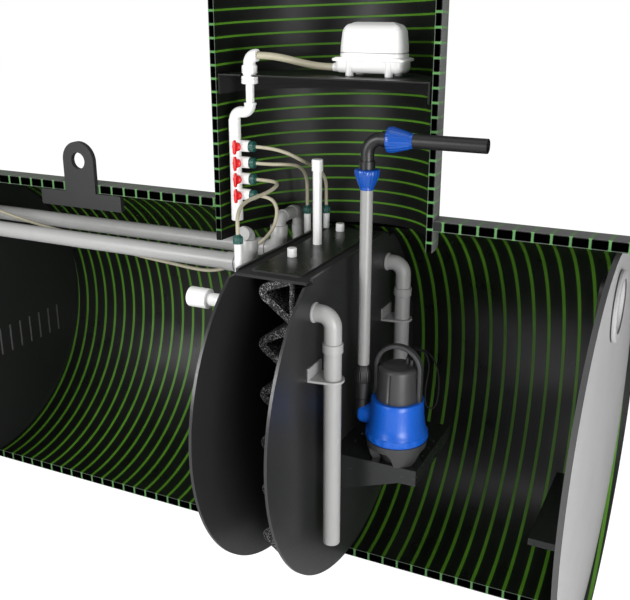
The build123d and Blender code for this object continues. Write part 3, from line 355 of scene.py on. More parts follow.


# %% [markdown]
# Most other pieces are plain plastic in one colour. A real moulding is never quite even: its
# gloss changes in soft clouds, and its skin has a very fine grain. The riser's grey and the
# blower cover's white are darker copies of the pipe grey and the moulded white, as painted
# shade. The cover also has two grey bands of painted shade: in the groove round it and along
# its foot.

# %% Plain plastic finishes
def plastic(name, colour, roughness, cloudy=0.12, grain=0.0002, speck=400.0, **constants):
    """Even plastic: colour and roughness drift in soft clouds, under a fine grain."""
    finish = Finish(name, colour, roughness, **constants)
    cloud = finish.noise(9.0)
    fine = finish.noise(speck, 2.0)
    dark = tuple(channel * (1 - cloudy) for channel in colour)
    light = tuple(min(1.0, channel * (1 + cloudy)) for channel in colour)
    finish.feed("Base Color", finish.blend(cloud, dark, light))
    finish.feed("Roughness", finish.clamp(roughness - 0.06 + 0.12 * cloud + 0.05 * fine))
    finish.bump(fine, grain)
    return finish.material


# Painted shade: the riser's grey is a darker copy of the pipe grey, for the riser stands nearer the
# lamps.
riser_shaded_grey = plastic("riser_shaded_grey", (0.285, 0.285, 0.28), 0.30, 0.05)
pipe_grey = plastic("pipe_grey", (0.37, 0.37, 0.365), 0.30, 0.05)
moulded_white = plastic("moulded_white", (0.84, 0.84, 0.83), 0.28, 0.02)
# Painted shade: the cover's white is darker than the moulded white of the base.
cover = Finish("cover_shaded_white", (0.76, 0.76, 0.75), 0.28)
# Painted shade: grey bands in the groove round the cover and along its foot.
bands = (cover.z > 2.9043) * (cover.z < 2.9102) + (cover.z < 2.8835)
cover.feed("Base Color", cover.blend(bands, (0.76, 0.76, 0.75), (0.42, 0.42, 0.42)))
nut_green = plastic("nut_green", (0.008, 0.075, 0.060), 0.35, 0.25)
handle_red = plastic("handle_red", (0.72, 0.008, 0.010), 0.32, 0.08)
hose_beige = plastic("hose_beige", (0.40, 0.37, 0.27), 0.42, 0.08, 0.0003, 260.0)
pump_blue = plastic("pump_blue", (0.004, 0.105, 0.56), 0.28, 0.10)
nut_blue = plastic("nut_blue", (0.003, 0.062, 0.33), 0.22, 0.12)
fitting_black = plastic("fitting_black", (0.006, 0.006, 0.007), 0.38, 0.2)
pump_dark = plastic("pump_dark", (0.042, 0.042, 0.044), 0.38, 0.15, 0.0004, 220.0)
cable_black = plastic("cable_black", (0.004, 0.004, 0.004), 0.55, 0.1, Specular_IOR_Level=0.15)
lug_grey = plastic("lug_grey", (0.014, 0.0145, 0.015), 0.50, 0.15, 0.0004, 180.0)
for line in air_hoses:
    line.data.materials.append(hose_beige)
blower_hose.data.materials.append(hose_beige)
pump_cable.data.materials.append(cable_black)


# %% [markdown]
# Flat black sheet has a satin gloss with long faint scuffs, so its roughness follows a noise
# that is drawn out level. The sawn edges under the lid and the shelf are dull, and the walls of
# the partition's slots are paler, which is painted light. The end plates are grey, with a dark
# band at the rim. The port sockets are grey, with painted shade in the groove round the bore,
# at the root where the flange meets the plate, and on the side inside the tank.

# %% Sheet finishes
def sheet(name, colour, roughness, fineness, rim=None, edges_below=None, slots_between=None):
    """Satin sheet with scuffs that are fineness times thinner upwards than they are long.

    Beyond the radius rim it is dark, and below the height edges_below it is dull. Between the
    two x values of slots_between it is pale, as painted light on the slots' walls.
    """
    finish = Finish(name, colour, roughness)
    settings = {"Vector": finish.place, "Scale": (1.0, 1.0, fineness)}
    scuff = finish.noise(14.0, 4.0, finish.node("ShaderNodeMapping", {}, settings))
    cloud = finish.noise(3.0)
    dark = tuple(channel * 0.82 for channel in colour)
    light = tuple(min(1.0, channel * 1.15) for channel in colour)
    tone = finish.blend(finish.clamp(scuff * 0.5 + cloud * 0.5), dark, light)
    if rim is not None:
        past_rim = finish.distance(finish.y, finish.z - tank_axis) > rim
        tone = finish.blend(past_rim, tone, (0.05, 0.05, 0.05))
    if slots_between is not None:
        # Painted light: the walls of the slots are paler than the sheet.
        slot_light = (finish.x > slots_between[0]) * (finish.x < slots_between[1])
        tone = finish.blend(slot_light, tone, (0.11, 0.11, 0.11))
    finish.feed("Base Color", tone)
    dull = 0.0 if edges_below is None else 0.5 * (finish.z < edges_below)
    finish.feed("Roughness", finish.clamp(roughness - 0.1 + 0.2 * scuff + dull))
    finish.bump(scuff, 0.00006)
    return finish.material


black_sheet = sheet("black_sheet", (0.016, 0.017, 0.017), 0.24, 6.0)
lid_sheet = sheet("lid_sheet", (0.011, 0.012, 0.0115), 0.30, 6.0, edges_below=1.8832)
shelf_sheet = sheet("shelf_sheet", (0.006, 0.007, 0.006), 0.40, 6.0, edges_below=2.787)
disc_sheet = sheet("disc_sheet", (0.022, 0.022, 0.023), 0.34, 5.0)
grey_sheet = sheet("grey_sheet", (0.39, 0.39, 0.39), 0.42, 4.0, rim=0.9985)
slotted_sheet = sheet(
    "slotted_sheet", (0.016, 0.016, 0.017), 0.36, 5.0, slots_between=(-2.6045, -2.5855)
)

port_height = 1.795
tank_middle = -1.014
bore_radius = 0.1265
groove_radius = 0.134
neck_radius = 0.1735
port = Finish("socket_grey", (0.40, 0.40, 0.40), 0.35)
from_port = port.distance(port.y, port.z - port_height)
from_middle = abs(port.x - tank_middle)
past_bore = from_port > bore_radius
# Painted shade: dark in the groove round the bore and at the root where the flange meets the plate.
groove = past_bore * (from_port < groove_radius)
root = (from_port > neck_radius) * (from_middle < 2.586)
ring = port.blend(root, (0.40, 0.40, 0.40), (0.03, 0.03, 0.03))
ring = port.blend(groove, ring, (0.06, 0.06, 0.06))
# Painted shade: near-black on the socket's side inside the tank.
inner_side = (from_middle < 2.5535) * past_bore
port.feed("Base Color", port.blend(inner_side, ring, (0.008, 0.008, 0.008)))


def dress(names, material):
    """Give each named CAD node one finish, through its object's material slot."""
    for name in names:
        nodes[name].material_slots[0].material = material
    print(material.name, "on", ", ".join(names))


dress(["tank_shell"], tank_finish)
dress(["access_shaft"], shaft_finish)
dress(["reactor_left_disc", "reactor_right_disc"], disc_sheet)
dress(["settlement_partition"], slotted_sheet)
dress(["outlet_end_plate", "inlet_end_plate"], grey_sheet)
dress(["reactor_lid"], lid_sheet)
dress(["blower_shelf"], shelf_sheet)
dress(["outlet_ledge", "pump_deck"], black_sheet)
dress(["lifting_lug"], lug_grey)
dress(["outlet_socket", "inlet_socket"], port.material)
dress(["dip_pipe_brackets"], pipe_grey)
dress(["hose_gland"], nut_green)

# %% [markdown]
# Every round or moulded piece below is a loft: a closed outline is carried through a row of
# places, and neighbouring outlines are joined by four-sided faces. A turned piece, a bent pipe
# and a rounded block differ only in their rows of outlines.


def loft(rings, closed=False):
    """Skin through rings of equal point counts, shape (rings, points, 3), as points and faces.

    The ends get flat caps, unless the row of rings is closed. The sign of the volume, one sixth
    of the sum of a . (b x c) over the triangles, says if the faces must be turned round.
    """
    rings = np.asarray(rings, float)
    count, sides = rings.shape[:2]
    row = np.arange(count if closed else count - 1)[:, None]
    step = np.arange(sides)[None, :]
    after = (step + 1) % sides
    above = (row + 1) % count
    quads = np.stack(
        [row * sides + step, row * sides + after, above * sides + after, above * sides + step], -1
    ).reshape(-1, 4)
    points = rings.reshape(-1, 3)
    triangles = np.concatenate([quads[:, [0, 1, 2]], quads[:, [0, 2, 3]]])
    faces = quads.tolist()
    if not closed:
        fan = np.arange(1, sides - 1)
        last = (count - 1) * sides
        first_cap = np.stack([np.zeros_like(fan), fan + 1, fan], -1)
        last_cap = np.stack([np.zeros_like(fan), fan, fan + 1], -1) + last
        triangles = np.concatenate([triangles, first_cap, last_cap])
        faces.append(list(range(sides))[::-1])
        faces.append(list(range(last, last + sides)))
    centred = points - points.mean(axis=0)
    a, b, c = (centred[triangles[:, corner]] for corner in range(3))
    if np.einsum("ij,ij->i", a, np.cross(b, c)).sum() < 0:
        faces = [face[::-1] for face in faces]
    return points, faces


def piece(name, skins, material, stands_for=None, body="plant", crease=32):
    """One object from several closed skins, smooth except where faces meet at over the crease.

    Its slot holds the given finish.
    """
    offset = 0
    points = []
    faces = []
    for skin_points, skin_faces in skins:
        points.append(skin_points)
        faces.extend([[corner + offset for corner in face] for face in skin_faces])
        offset += len(skin_points)
    mesh = bpy.data.meshes.new(name)
    mesh.from_pydata(np.concatenate(points).tolist(), [], faces)
    mesh.polygons.foreach_set("use_smooth", np.ones(len(mesh.polygons), bool))
    mesh.set_sharp_from_angle(angle=radians(crease))
    mesh.update()
    made = add(name, mesh)
    mesh.materials.append(material)
    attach(made, body)
    if stands_for:
        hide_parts(stands_for)
    print(name, len(mesh.polygons), "faces")


def circle(sides=40):
    """Unit circle as (points, 2): cosine and sine of equal steps."""
    angle = np.linspace(0, 2 * np.pi, sides, endpoint=False)
    return np.stack([np.cos(angle), np.sin(angle)], -1)


def frame_of(axis):
    """Three unit vectors: across, up and along, where along is the given axis."""
    along = np.array(axis, float) / np.linalg.norm(axis)
    helper = np.array([0.0, 0.0, 1.0]) if abs(along[2]) < 0.9 else np.array([1.0, 0.0, 0.0])
    across = np.cross(helper, along)
    across /= np.linalg.norm(across)
    return across, np.cross(along, across), along


def turned(origin, axis, profile, sides=40, ribs=0, depth=0.0, closed=False):
    """Turned piece: each profile row is (distance along the axis, radius).

    With ribs, the radius swells by depth in a smooth square wave round the axis.
    """
    across, up, along = frame_of(axis)
    profile = np.array(profile, float)
    ring = circle(sides)
    swell = np.ones(sides)
    if ribs:
        wave = np.cos(ribs * np.linspace(0, 2 * np.pi, sides, endpoint=False))
        swell = 1 + depth * np.tanh(4 * wave)
    radius = profile[:, 1, None] * swell[None, :]
    flat = ring[None, :, 0, None] * across + ring[None, :, 1, None] * up
    rings = np.array(origin) + profile[:, 0, None, None] * along + radius[..., None] * flat
    return loft(rings, closed)


def upright(x, y, profile, sides=40, ribs=0, depth=0.0, closed=False):
    """Turned piece on the upright axis at x, y: each profile row is (height, radius)."""
    return turned((x, y, 0), (0, 0, 1), profile, sides, ribs, depth, closed)


def bend_path(corners, bend_radius, steps=12):
    """Middle line through corners: each corner becomes an arc tangent to its two runs.

    The arc starts radius x tan(half turn) before the corner. At an angle t its point is
    radius x sin(t) further on and radius x (1 - cos(t)) towards the new run.
    """
    corners = [np.array(corner, float) for corner in corners]
    line = [corners[0][None]]
    for before, corner, after in zip(corners, corners[1:], corners[2:]):
        inward = (corner - before) / np.linalg.norm(corner - before)
        outward = (after - corner) / np.linalg.norm(after - corner)
        turn = np.arccos(np.clip(inward @ outward, -1, 1))
        start = corner - inward * bend_radius * np.tan(turn / 2)
        toward = outward - inward * (inward @ outward)
        toward /= np.linalg.norm(toward)
        angle = np.linspace(0, turn, steps)[:, None]
        line.append(start + bend_radius * (np.sin(angle) * inward + (1 - np.cos(angle)) * toward))
    line.append(corners[-1][None])
    return np.concatenate(line)


def pipe(corners, bend_radius, diameter, side, sides=48, edge=0.0012, bore=None, depth=0.05):
    """Pipe along a bent middle line that lies in one plane, with side as that plane's normal.

    Its outline's second axis is the line's direction crossed with side. A bore sinks the far
    end as a blind hole of the given depth.
    """
    line = bend_path(corners, bend_radius)
    step = np.diff(line, axis=0)
    step /= np.linalg.norm(step, axis=1)[:, None]
    tangent = np.concatenate([step[:1], step[:-1] + step[1:], step[-1:]])
    tangent /= np.linalg.norm(tangent, axis=1)[:, None]
    side = np.array(side, float)
    radius = np.full(len(line), diameter / 2)
    chamfer = tangent * edge
    line = np.concatenate(
        [line[:1], line[:1] + chamfer[:1], line[1:-1], line[-1:] - chamfer[-1:], line[-1:]]
    )
    tangent = np.concatenate([tangent[:1], tangent, tangent[-1:]])
    radius = np.concatenate([[diameter / 2 - edge], radius, [diameter / 2 - edge]])
    if bore:
        end = line[-1:]
        line = np.concatenate([line, end, end - tangent[-1:] * depth])
        tangent = np.concatenate([tangent, tangent[-1:], tangent[-1:]])
        radius = np.concatenate([radius, [bore / 2, bore / 2]])
    up = np.cross(tangent, side)
    ring = circle(sides)
    flat = ring[None, :, 0, None] * side + ring[None, :, 1, None] * up[:, None, :]
    return loft(line[:, None, :] + radius[:, None, None] * flat)


def rounded_outline(length, width, corner, steps=8):
    """Rectangle with round corners as (points, 2): a quarter circle at each corner's centre."""
    angle = np.linspace(0, np.pi / 2, steps)
    quarters = []
    for turn, (sx, sy) in enumerate(((1, 1), (-1, 1), (-1, -1), (1, -1))):
        around = angle + turn * np.pi / 2
        centre = np.array([sx * (length / 2 - corner), sy * (width / 2 - corner)])
        quarters.append(centre + corner * np.stack([np.cos(around), np.sin(around)], -1))
    return np.concatenate(quarters)


def level_ring(outline, centre, height):
    """An outline of (points, 2) moved to a centre and laid level at a height."""
    return np.column_stack([outline + np.array(centre), np.full(len(outline), height)])


def block(centre, length, width, corner, levels):
    """Upright rounded block: each level is (height, inset from the full outline)."""
    rings = []
    for height, inset in levels:
        round_left = max(corner - inset, 0.001)
        outline = rounded_outline(length - 2 * inset, width - 2 * inset, round_left)
        rings.append(level_ring(outline, centre, height))
    return loft(rings)


print("a circle of", len(circle()), "points; a block outline of", len(rounded_outline(1, 1, 0.1)))

# %% [markdown]
# Two long grey pipes bring settled water from the partition and turn up beside the reactor. A
# thinner riser bend stands in a socket on each. Collars have small chamfers, because that
# bright edge is what makes them read as separate fittings.

# %% Water pipes
wall_edge = 0.002


def collar(origin, axis, length, radius):
    """Short sleeve with a chamfer of wall_edge at both ends."""
    low = radius - wall_edge
    chamfers = [(0, low), (wall_edge, radius), (length - wall_edge, radius), (length, low)]
    return turned(origin, axis, chamfers, 48)


riser_x = -0.330
main_side = 0.172
main_height = 1.804
main_diameter = 0.095
seat = 1.893
for sign, name in ((-1, "front"), (1, "rear")):
    y = sign * main_side
    run = [(-2.70, y, main_height), (riser_x, y, main_height), (riser_x, y, seat)]
    piece(f"{name}_transfer_run", [
        pipe(run, 0.075, main_diameter, (0, 1, 0)),
        collar((-0.467, y, main_height), (1, 0, 0), 0.060, 0.053),
    ], pipe_grey, f"{name}_transfer_pipe")

bend_diameter = 0.071
bend_height = 1.986
socket_foot = 1.885
front_mouth_y = -0.228
rear_leg_y = 0.420
sleeve_radius = 0.0395
socket_wall = [(0, 0.0475), (0.002, 0.0495), (0.056, 0.0495), (0.060, 0.047), (0.061, 0.036)]
mouth_lip = [
    (0, 0.036), (0.002, 0.0385), (0.020, 0.0385), (0.022, 0.037), (0.022, 0.0305),
    (0.010, 0.029), (0.010, 0.001),
]
front_bend = [
    (riser_x, -main_side, seat), (riser_x, -main_side, bend_height),
    (riser_x, front_mouth_y, bend_height),
]
piece("front_bend", [
    pipe(front_bend, 0.044, bend_diameter, (1, 0, 0)),
    turned((riser_x, -main_side, socket_foot), (0, 0, 1), socket_wall, 48),
    turned((riser_x, front_mouth_y + 0.018, bend_height), (0, -1, 0), mouth_lip, 48),
], pipe_grey, "front_riser_bend")
rear_bend = [
    (riser_x, main_side, seat), (riser_x, main_side, bend_height),
    (riser_x, rear_leg_y, bend_height), (riser_x, rear_leg_y, 0.500),
]
piece("rear_bend", [
    pipe(rear_bend, 0.056, bend_diameter, (1, 0, 0)),
    turned((riser_x, main_side, socket_foot), (0, 0, 1), socket_wall, 48),
    collar((riser_x, main_side + 0.045, bend_height), (0, 1, 0), 0.016, 0.0385),
    collar((riser_x, 0.330, bend_height), (0, 1, 0), 0.028, sleeve_radius),
    collar((riser_x, rear_leg_y, 1.842), (0, 0, 1), 0.060, sleeve_radius),
], pipe_grey, "rear_riser_bend")

# %% [markdown]
# The dip pipes leave the right disc through an elbow and go down on the pump's side. Each has a
# collar at the disc, and another where the elbow is pushed on to the pipe below it.

# %% Dip pipes
disc_face = 0.2155
dip_x = 0.318
dip_side = 0.493
dip_height = 1.712
dip_foot = 0.430
dip_diameter = 0.090
for sign, name in ((-1, "front"), (1, "rear")):
    y = sign * dip_side
    drop = [(disc_face, y, dip_height), (dip_x, y, dip_height), (dip_x, y, dip_foot)]
    piece(f"{name}_dip_run", [
        pipe(drop, 0.065, dip_diameter, (0, 1, 0), bore=0.082),
        collar((dip_x, y, 1.519), (0, 0, 1), 0.048, 0.052),
        collar((disc_face, y, dip_height), (1, 0, 0), 0.012, 0.052),
    ], pipe_grey, f"{name}_dip_pipe")

# %% [markdown]
# White fittings on the reactor: a capped standpipe and two capped ports on the lid, and a
# capped stub on the left disc. A cap starts as a step out from the tube and rounds over at its
# rim. A plug of disc sheet closes the stub's hole from inside, because the photograph shows
# no hole there.

# %% Lid fittings and stub
def cap_profile(start, end, radius, round_over=0.005, steps=5):
    """Cap from a step at start to a flat top at end, with a quarter-circle rim."""
    angle = np.linspace(0, np.pi / 2, steps)
    along = end - round_over + round_over * np.sin(angle)
    rim = np.column_stack([along, radius - round_over + round_over * np.cos(angle)])
    return [(start, radius - 0.002), (start + 0.002, radius), *rim.tolist(), (end, 0.001)]


lid_top = 1.884
standpipe = (-0.049, 0.096)
piece("standpipe_post", [
    upright(*standpipe, [(lid_top, 0.025), (2.300, 0.025)]),
    upright(*standpipe, cap_profile(2.290, 2.355, 0.031)),
], moulded_white, "standpipe")
piece("lid_port_caps", [
    upright(-0.060, -0.190, cap_profile(lid_top, 1.932, 0.0255)),
    upright(-0.054, 0.413, cap_profile(lid_top, 1.931, 0.025)),
], moulded_white, "lid_caps")

stub_y, stub_height = -0.600, 1.735
stub_foot = (-disc_face, stub_y, stub_height)
plug_back = (0.0003 - disc_face, stub_y, stub_height)
plug = turned(plug_back, (1, 0, 0), [(0, 0.0305), (0.0155, 0.0305)], 48)
piece("stub_plug", [plug], disc_sheet)
piece("capped_stub", [
    turned(stub_foot, (-1, 0, 0), [(0, 0.0335), (0.110, 0.0335)], 48),
    turned(stub_foot, (-1, 0, 0), cap_profile(0.1035, 0.2155, 0.0515, 0.006), 48),
], moulded_white, "side_stub")

# %% [markdown]
# Each air tube ends in a green compression nut with flutes for the fingers. The flutes are
# part of the turned surface, so there is no separate rib to join.

# %% Air tubes and nuts
def fluted_nut(origin, axis, length, radius, throat, flutes=14):
    """Nut with a smooth foot ring, a fluted grip and a cone down to the throat."""
    rim = radius - 0.001
    foot = [(0, rim - 0.002), (0.002, rim), (length * 0.2, rim), (length * 0.24, rim - 0.003)]
    grip = [
        (length * 0.2, radius * 0.9), (length * 0.24, radius * 0.965),
        (length * 0.7, radius * 0.945), (length * 0.76, radius * 0.86),
    ]
    cone = [
        (length * 0.7, radius * 0.84), (length * 0.86, throat + 0.005),
        (length * 0.98, throat + 0.003), (length, throat + 0.001),
    ]
    return [
        turned(origin, axis, foot, 56),
        turned(origin, axis, grip, flutes * 8, flutes, 0.035),
        turned(origin, axis, cone, 56),
    ]


throat = 0.011
tube_nut = 0.048
tube_skins = []
tube_nut_skins = []
for (x, y, top), foot in ((front_tube, 0.250), (middle_tube, 0.250), (back_tube, 1.876)):
    tube = [(foot, 0.019), (foot + 0.001, 0.020), (top - 0.020, 0.020)]
    tube_skins.append(upright(x, y, tube))
    tube_nut_skins += fluted_nut((x, y, top - tube_nut), (0, 0, 1), tube_nut, 0.026, throat)
piece("air_tubes", tube_skins, moulded_white, "air_drop_tubes")
piece("air_tube_nuts", tube_nut_skins, nut_green, "drop_tube_nuts")

# %% [markdown]
# The air manifold is an upright white pipe with four valves. Each valve body points to the
# right and ends in a green nut, and a boss on its front carries a red handle, which turns a
# quarter on the frame's own joint and so rides on its own body.

# %% Manifold and valves
manifold_x = -0.525
stem_x = -0.490
valve_nut = 0.040
post = [
    (1.984, 0.031), (1.986, 0.033), (2.044, 0.033), (2.045, 0.0315), (2.048, 0.0315),
    (2.049, 0.033), (2.472, 0.033), (2.473, 0.0315), (2.476, 0.0315), (2.477, 0.033),
    (2.536, 0.033), (2.538, 0.031),
]
valve_body = [(0.015, 0.030), (0.030, 0.0315), (0.088, 0.0315), (0.093, 0.029)]
valve_boss = [(0, 0.020), (0.026, 0.018), (0.0295, 0.016)]
manifold_skins = [upright(manifold_x, valve_y, post, 48)]
valve_nut_skins = []
for height in valve_heights:
    manifold_skins.append(turned((manifold_x, valve_y, height), (1, 0, 0), valve_body))
    manifold_skins.append(turned((stem_x, 0.030, height), (0, -1, 0), valve_boss, 32))
    nut_foot = (nut_mouth_x - valve_nut, valve_y, height)
    valve_nut_skins += fluted_nut(nut_foot, (1, 0, 0), valve_nut, 0.030, throat, 12)
piece("manifold_body", manifold_skins, moulded_white, "air_manifold")
piece("manifold_nuts", valve_nut_skins, nut_green, "valve_nuts")

bar_half_width = 0.008
bar_half_length = 0.039
bar_levels = [(-0.0205, 0.86), (-0.022, 1.0), (-0.034, 1.0), (-0.0385, 0.90), (-0.040, 0.70)]
hub = [(0, 0.0225), (0.002, 0.0245), (0.014, 0.0245), (0.019, 0.020), (0.0215, 0.012)]


def handle_skins(height):
    """Red lever: a round hub and a bar across it, with rounded ends.

    The bar's outline is a superellipse of the fourth power, whose points are the square roots
    of the circle's. Each of its levels is (y, share of the full outline).
    """
    ring = circle(48)
    outline = np.sign(ring) * np.sqrt(np.abs(ring))
    rings = []
    for depth, share in bar_levels:
        x = stem_x + outline[:, 0] * bar_half_width * share
        z = height + outline[:, 1] * bar_half_length * share
        rings.append(np.column_stack([x, np.full(len(x), depth), z]))
    return [loft(rings), turned((stem_x, 0.0003, height), (0, -1, 0), hub, 36)]


for number, height in enumerate(valve_heights, 1):
    handle = f"valve_handle_{number}"
    piece(f"handle_{number}", handle_skins(height), handle_red, handle, handle)

# %% [markdown]
# Above the manifold the air line steps to the right through two elbows, rises through a union
# with a big ring nut, and turns towards the blower's hose.

# %% Air line
rise_x = -0.424
step_height = 2.589
air_step = [
    (manifold_x, valve_y, 2.538), (manifold_x, valve_y, step_height),
    (rise_x, valve_y, step_height), (rise_x, valve_y, 2.639),
]
piece("air_line", [
    pipe(air_step, 0.045, 0.060, (0, 1, 0), 44),
    upright(rise_x, valve_y, [(2.630, 0.0225), (2.745, 0.0225)]),
    collar((manifold_x, valve_y, 2.536), (0, 0, 1), 0.012, 0.0335),
    collar((rise_x, valve_y, 2.628), (0, 0, 1), 0.014, 0.0335),
], moulded_white, "air_offset_pipe")
union_top = 2.838
ring_nut = [
    (2.739, 0.036), (2.741, 0.042), (2.744, 0.044), (2.760, 0.044), (2.763, 0.0415),
    (2.766, 0.044), (2.780, 0.044), (2.783, 0.0355), (2.793, 0.0355), (2.795, 0.0405),
    (2.830, 0.041), (union_top, 0.037),
]
union_skin = upright(rise_x, valve_y, ring_nut, 96, 12, 0.012)
piece("ring_union", [union_skin], moulded_white, "air_union")
top_line = [(rise_x, valve_y, union_top), (rise_x, valve_y, elbow_mouth[2]), elbow_mouth]
elbow_skin = pipe(top_line, 0.042, 0.065, (0, 1, 0), 44)
piece("top_elbow", [elbow_skin], moulded_white, "air_elbow")

# %% [markdown]
# The blower is a white moulded box: a base with a rounded bottom and a thin flange, on four
# short columns, and a domed cover with a groove near its foot. The dome draws its outline in
# along a quarter of an ellipse, and the last few levels flatten its crown.

# %% Blower
blower = np.array([0.205, 0.230])
cover_centre = blower + np.array([0.009, 0])
dome_foot = 2.996
quarter = np.linspace(0, np.pi / 2, 10)[:-1]
dome = [(dome_foot + 0.054 * np.sin(a), 0.009 + 0.050 * (1 - np.cos(a))) for a in quarter]
crown = [(3.0515, 0.056), (3.0545, 0.063), (3.0565, 0.070), (3.0575, 0.078)]
cover_levels = [
    (2.882, 0.002), (2.8833, 0.002), (2.8837, 0.0), (2.9045, 0.001), (2.905, 0.008),
    (2.9095, 0.008), (2.910, 0.001), (2.945, 0.003), *dome, *crown,
]
cover_skin = block(cover_centre, 0.348, 0.160, 0.044, cover_levels)
piece("blower_cover_shell", [cover_skin], cover.material, "blower_cover", crease=50)

rounding = 0.030
tray_levels = [
    (2.834 - rounding * np.cos(a), rounding * (1 - np.sin(a))) for a in np.linspace(0, np.pi / 2, 7)
]
flange_levels = [(2.864, 0.003), (2.867, 0.0), (2.876, 0.0), (2.879, 0.003)]
spout = [(0, 0.0215), (0.002, 0.022), (0.035, 0.022)]
blower_foot = [(2.788, 0.017), (2.789, 0.0195), (2.792, 0.0215), (2.868, 0.0205)]
base_skins = [
    block(blower, 0.376, 0.162, 0.034, [*tray_levels, (2.866, 0.0)]),
    block(blower, 0.400, 0.180, 0.022, flange_levels),
    block(blower, 0.380, 0.168, 0.030, [(2.878, 0.0), (2.883, 0.0)]),
    turned(blower_mouth, (1, 0, 0), spout, 36),
]
for x in (0.104, 0.322):
    for y in (0.162, 0.298):
        base_skins.append(upright(x, y, blower_foot, 32))
piece("blower_base_shell", base_skins, moulded_white, "blower_base")

# %% [markdown]
# The discharge line: a black coupling on the pump's outlet with a fluted grip, a grey riser, two
# large blue union nuts round a black elbow, and an open black pipe. Each nut is a cone in soft
# flutes, and its wide end is towards the elbow.

# %% Discharge line
discharge_x = 0.350
discharge_y = -0.170
discharge_height = 2.528
riser_top = 2.274
pipe_start_x = 0.587
coupling_x = 0.347
neck = [(1.030, 0.034), (1.038, 0.042), (1.163, 0.043)]
sleeve = [
    (1.150, 0.043), (1.156, 0.0485), (1.232, 0.049), (1.233, 0.0515), (1.246, 0.0515),
    (1.247, 0.0495),
]
grip = [
    (1.246, 0.0485), (1.250, 0.0495), (1.300, 0.049), (1.316, 0.042), (1.336, 0.037),
    (1.340, 0.034),
]
piece("ribbed_coupling", [
    upright(coupling_x, discharge_y, neck, 48),
    upright(coupling_x, discharge_y, sleeve, 48),
    upright(coupling_x, discharge_y, grip, 208, 26, 0.016),
], fitting_black, "riser_coupling")
riser_skin = upright(discharge_x, discharge_y, [(1.318, 0.0315), (riser_top, 0.0315)], 44)
piece("riser", [riser_skin], riser_shaded_grey, "discharge_riser")


def flared_nut(origin, axis, length):
    """Blue union nut: a narrow neck and a cone that swells, in soft flutes, to a wide end.

    The cone's radius grows with the power 0.85 of the share of its length.
    """
    neck = [(0, 0.0335), (0.002, 0.0355), (0.026, 0.037), (0.034, 0.040)]
    swell = np.linspace(0, 1, 8)
    cone = [(0.016 + s * (length - 0.040), 0.0375 + 0.0245 * s ** 0.85) for s in swell]
    end = [(length - 0.010, 0.0625), (length - 0.003, 0.060), (length, 0.054)]
    return [
        turned(origin, axis, neck, 56),
        turned(origin, axis, [*cone, *end], 160, 20, 0.011),
    ]


pipe_start = (pipe_start_x, discharge_y, discharge_height)
lower_nut = flared_nut((discharge_x, discharge_y, riser_top), (0, 0, 1), 0.104)
upper_nut = flared_nut(pipe_start, (-1, 0, 0), 0.130)
piece("union_nuts", lower_nut + upper_nut, nut_blue, "discharge_nuts")
elbow_line = [
    (discharge_x, discharge_y, 2.378), (discharge_x, discharge_y, discharge_height),
    (0.457, discharge_y, discharge_height),
]
piece("black_elbow", [
    pipe(elbow_line, 0.075, 0.066, (0, 1, 0)),
    collar((discharge_x, discharge_y, 2.374), (0, 0, 1), 0.044, 0.039),
    collar((0.461, discharge_y, discharge_height), (-1, 0, 0), 0.036, 0.039),
], fitting_black, "discharge_elbow")
open_wall = [
    (0, 0.031), (0, 0.035), (0.3588, 0.035), (0.360, 0.0338), (0.360, 0.0322), (0.3588, 0.031),
]
open_skin = turned(pipe_start, (1, 0, 0), open_wall, 48, closed=True)
piece("open_pipe", [open_skin], fitting_black, "discharge_pipe")

# %% [markdown]
# The pump: a dark strainer on three legs, a blue volute like a bell with a fluted band at its
# lip and a straight outlet stub, a dark tapered motor with four slots and a dished top, and a
# strap handle. The bell's side goes through a few radii measured in the photograph.

# %% Pump
pump = (0.552, -0.180)
bell = [
    (0.962, 0.150), (0.964, 0.158), (0.972, 0.164), (0.985, 0.1655), (1.012, 0.162),
    (1.020, 0.154), (1.060, 0.147), (1.110, 0.142), (1.160, 0.1395), (1.186, 0.1385),
    (1.190, 0.135), (1.190, 0.110),
]
band = [(0.976, 0.1655), (0.979, 0.1665), (1.006, 0.1655), (1.010, 0.160)]
outlet = [(0, 0.040), (0.004, 0.049), (0.012, 0.055), (0.024, 0.058), (0.150, 0.059)]
piece("volute", [
    upright(*pump, bell, 72),
    upright(*pump, band, 288, 18, 0.006),
    turned((0.335, discharge_y, 1.064), (1, 0, 0), outlet, 48),
], pump_blue, "pump_volute", crease=40)

motor_levels = [
    (1.184, 0.114, 0.0), (1.192, 0.115, 0.0), (1.198, 0.1148, 1.0), (1.335, 0.105, 1.0),
    (1.350, 0.1042, 0.0), (1.358, 0.1036, 0.0), (1.366, 0.0985, 0.0), (1.372, 0.088, 0.0),
    (1.373, 0.072, 0.0), (1.369, 0.064, 0.0), (1.369, 0.001, 0.0),
]
slot_depth = 0.009
slot_half_angle = 0.055
first_slot = -96


def motor_rings():
    """Tapered drum less four slots, each exp(-(angle / slot_half_angle) ** 4) of the depth.

    Each of its levels is (height, radius, share of the slots' depth).
    """
    angle = np.linspace(0, 2 * np.pi, 160, endpoint=False)
    slots = np.zeros_like(angle)
    for turn in range(4):
        middle = radians(first_slot + 90 * turn)
        away = (angle - middle + np.pi) % (2 * np.pi) - np.pi
        slots += np.exp(-((away / slot_half_angle) ** 4))
    ring = circle(160)
    return [
        level_ring(ring * (radius - slot_depth * cut * slots)[:, None], pump, height)
        for height, radius, cut in motor_levels
    ]


gland = [(1.366, 0.015), (1.374, 0.015), (1.376, 0.011), (1.400, 0.0095), (1.4025, 0.006)]
piece("motor", [
    loft(motor_rings()),
    upright(*cable_start[:2], gland, 24),
    upright(*cable_end[:2], gland, 24),
], pump_dark, "pump_motor")

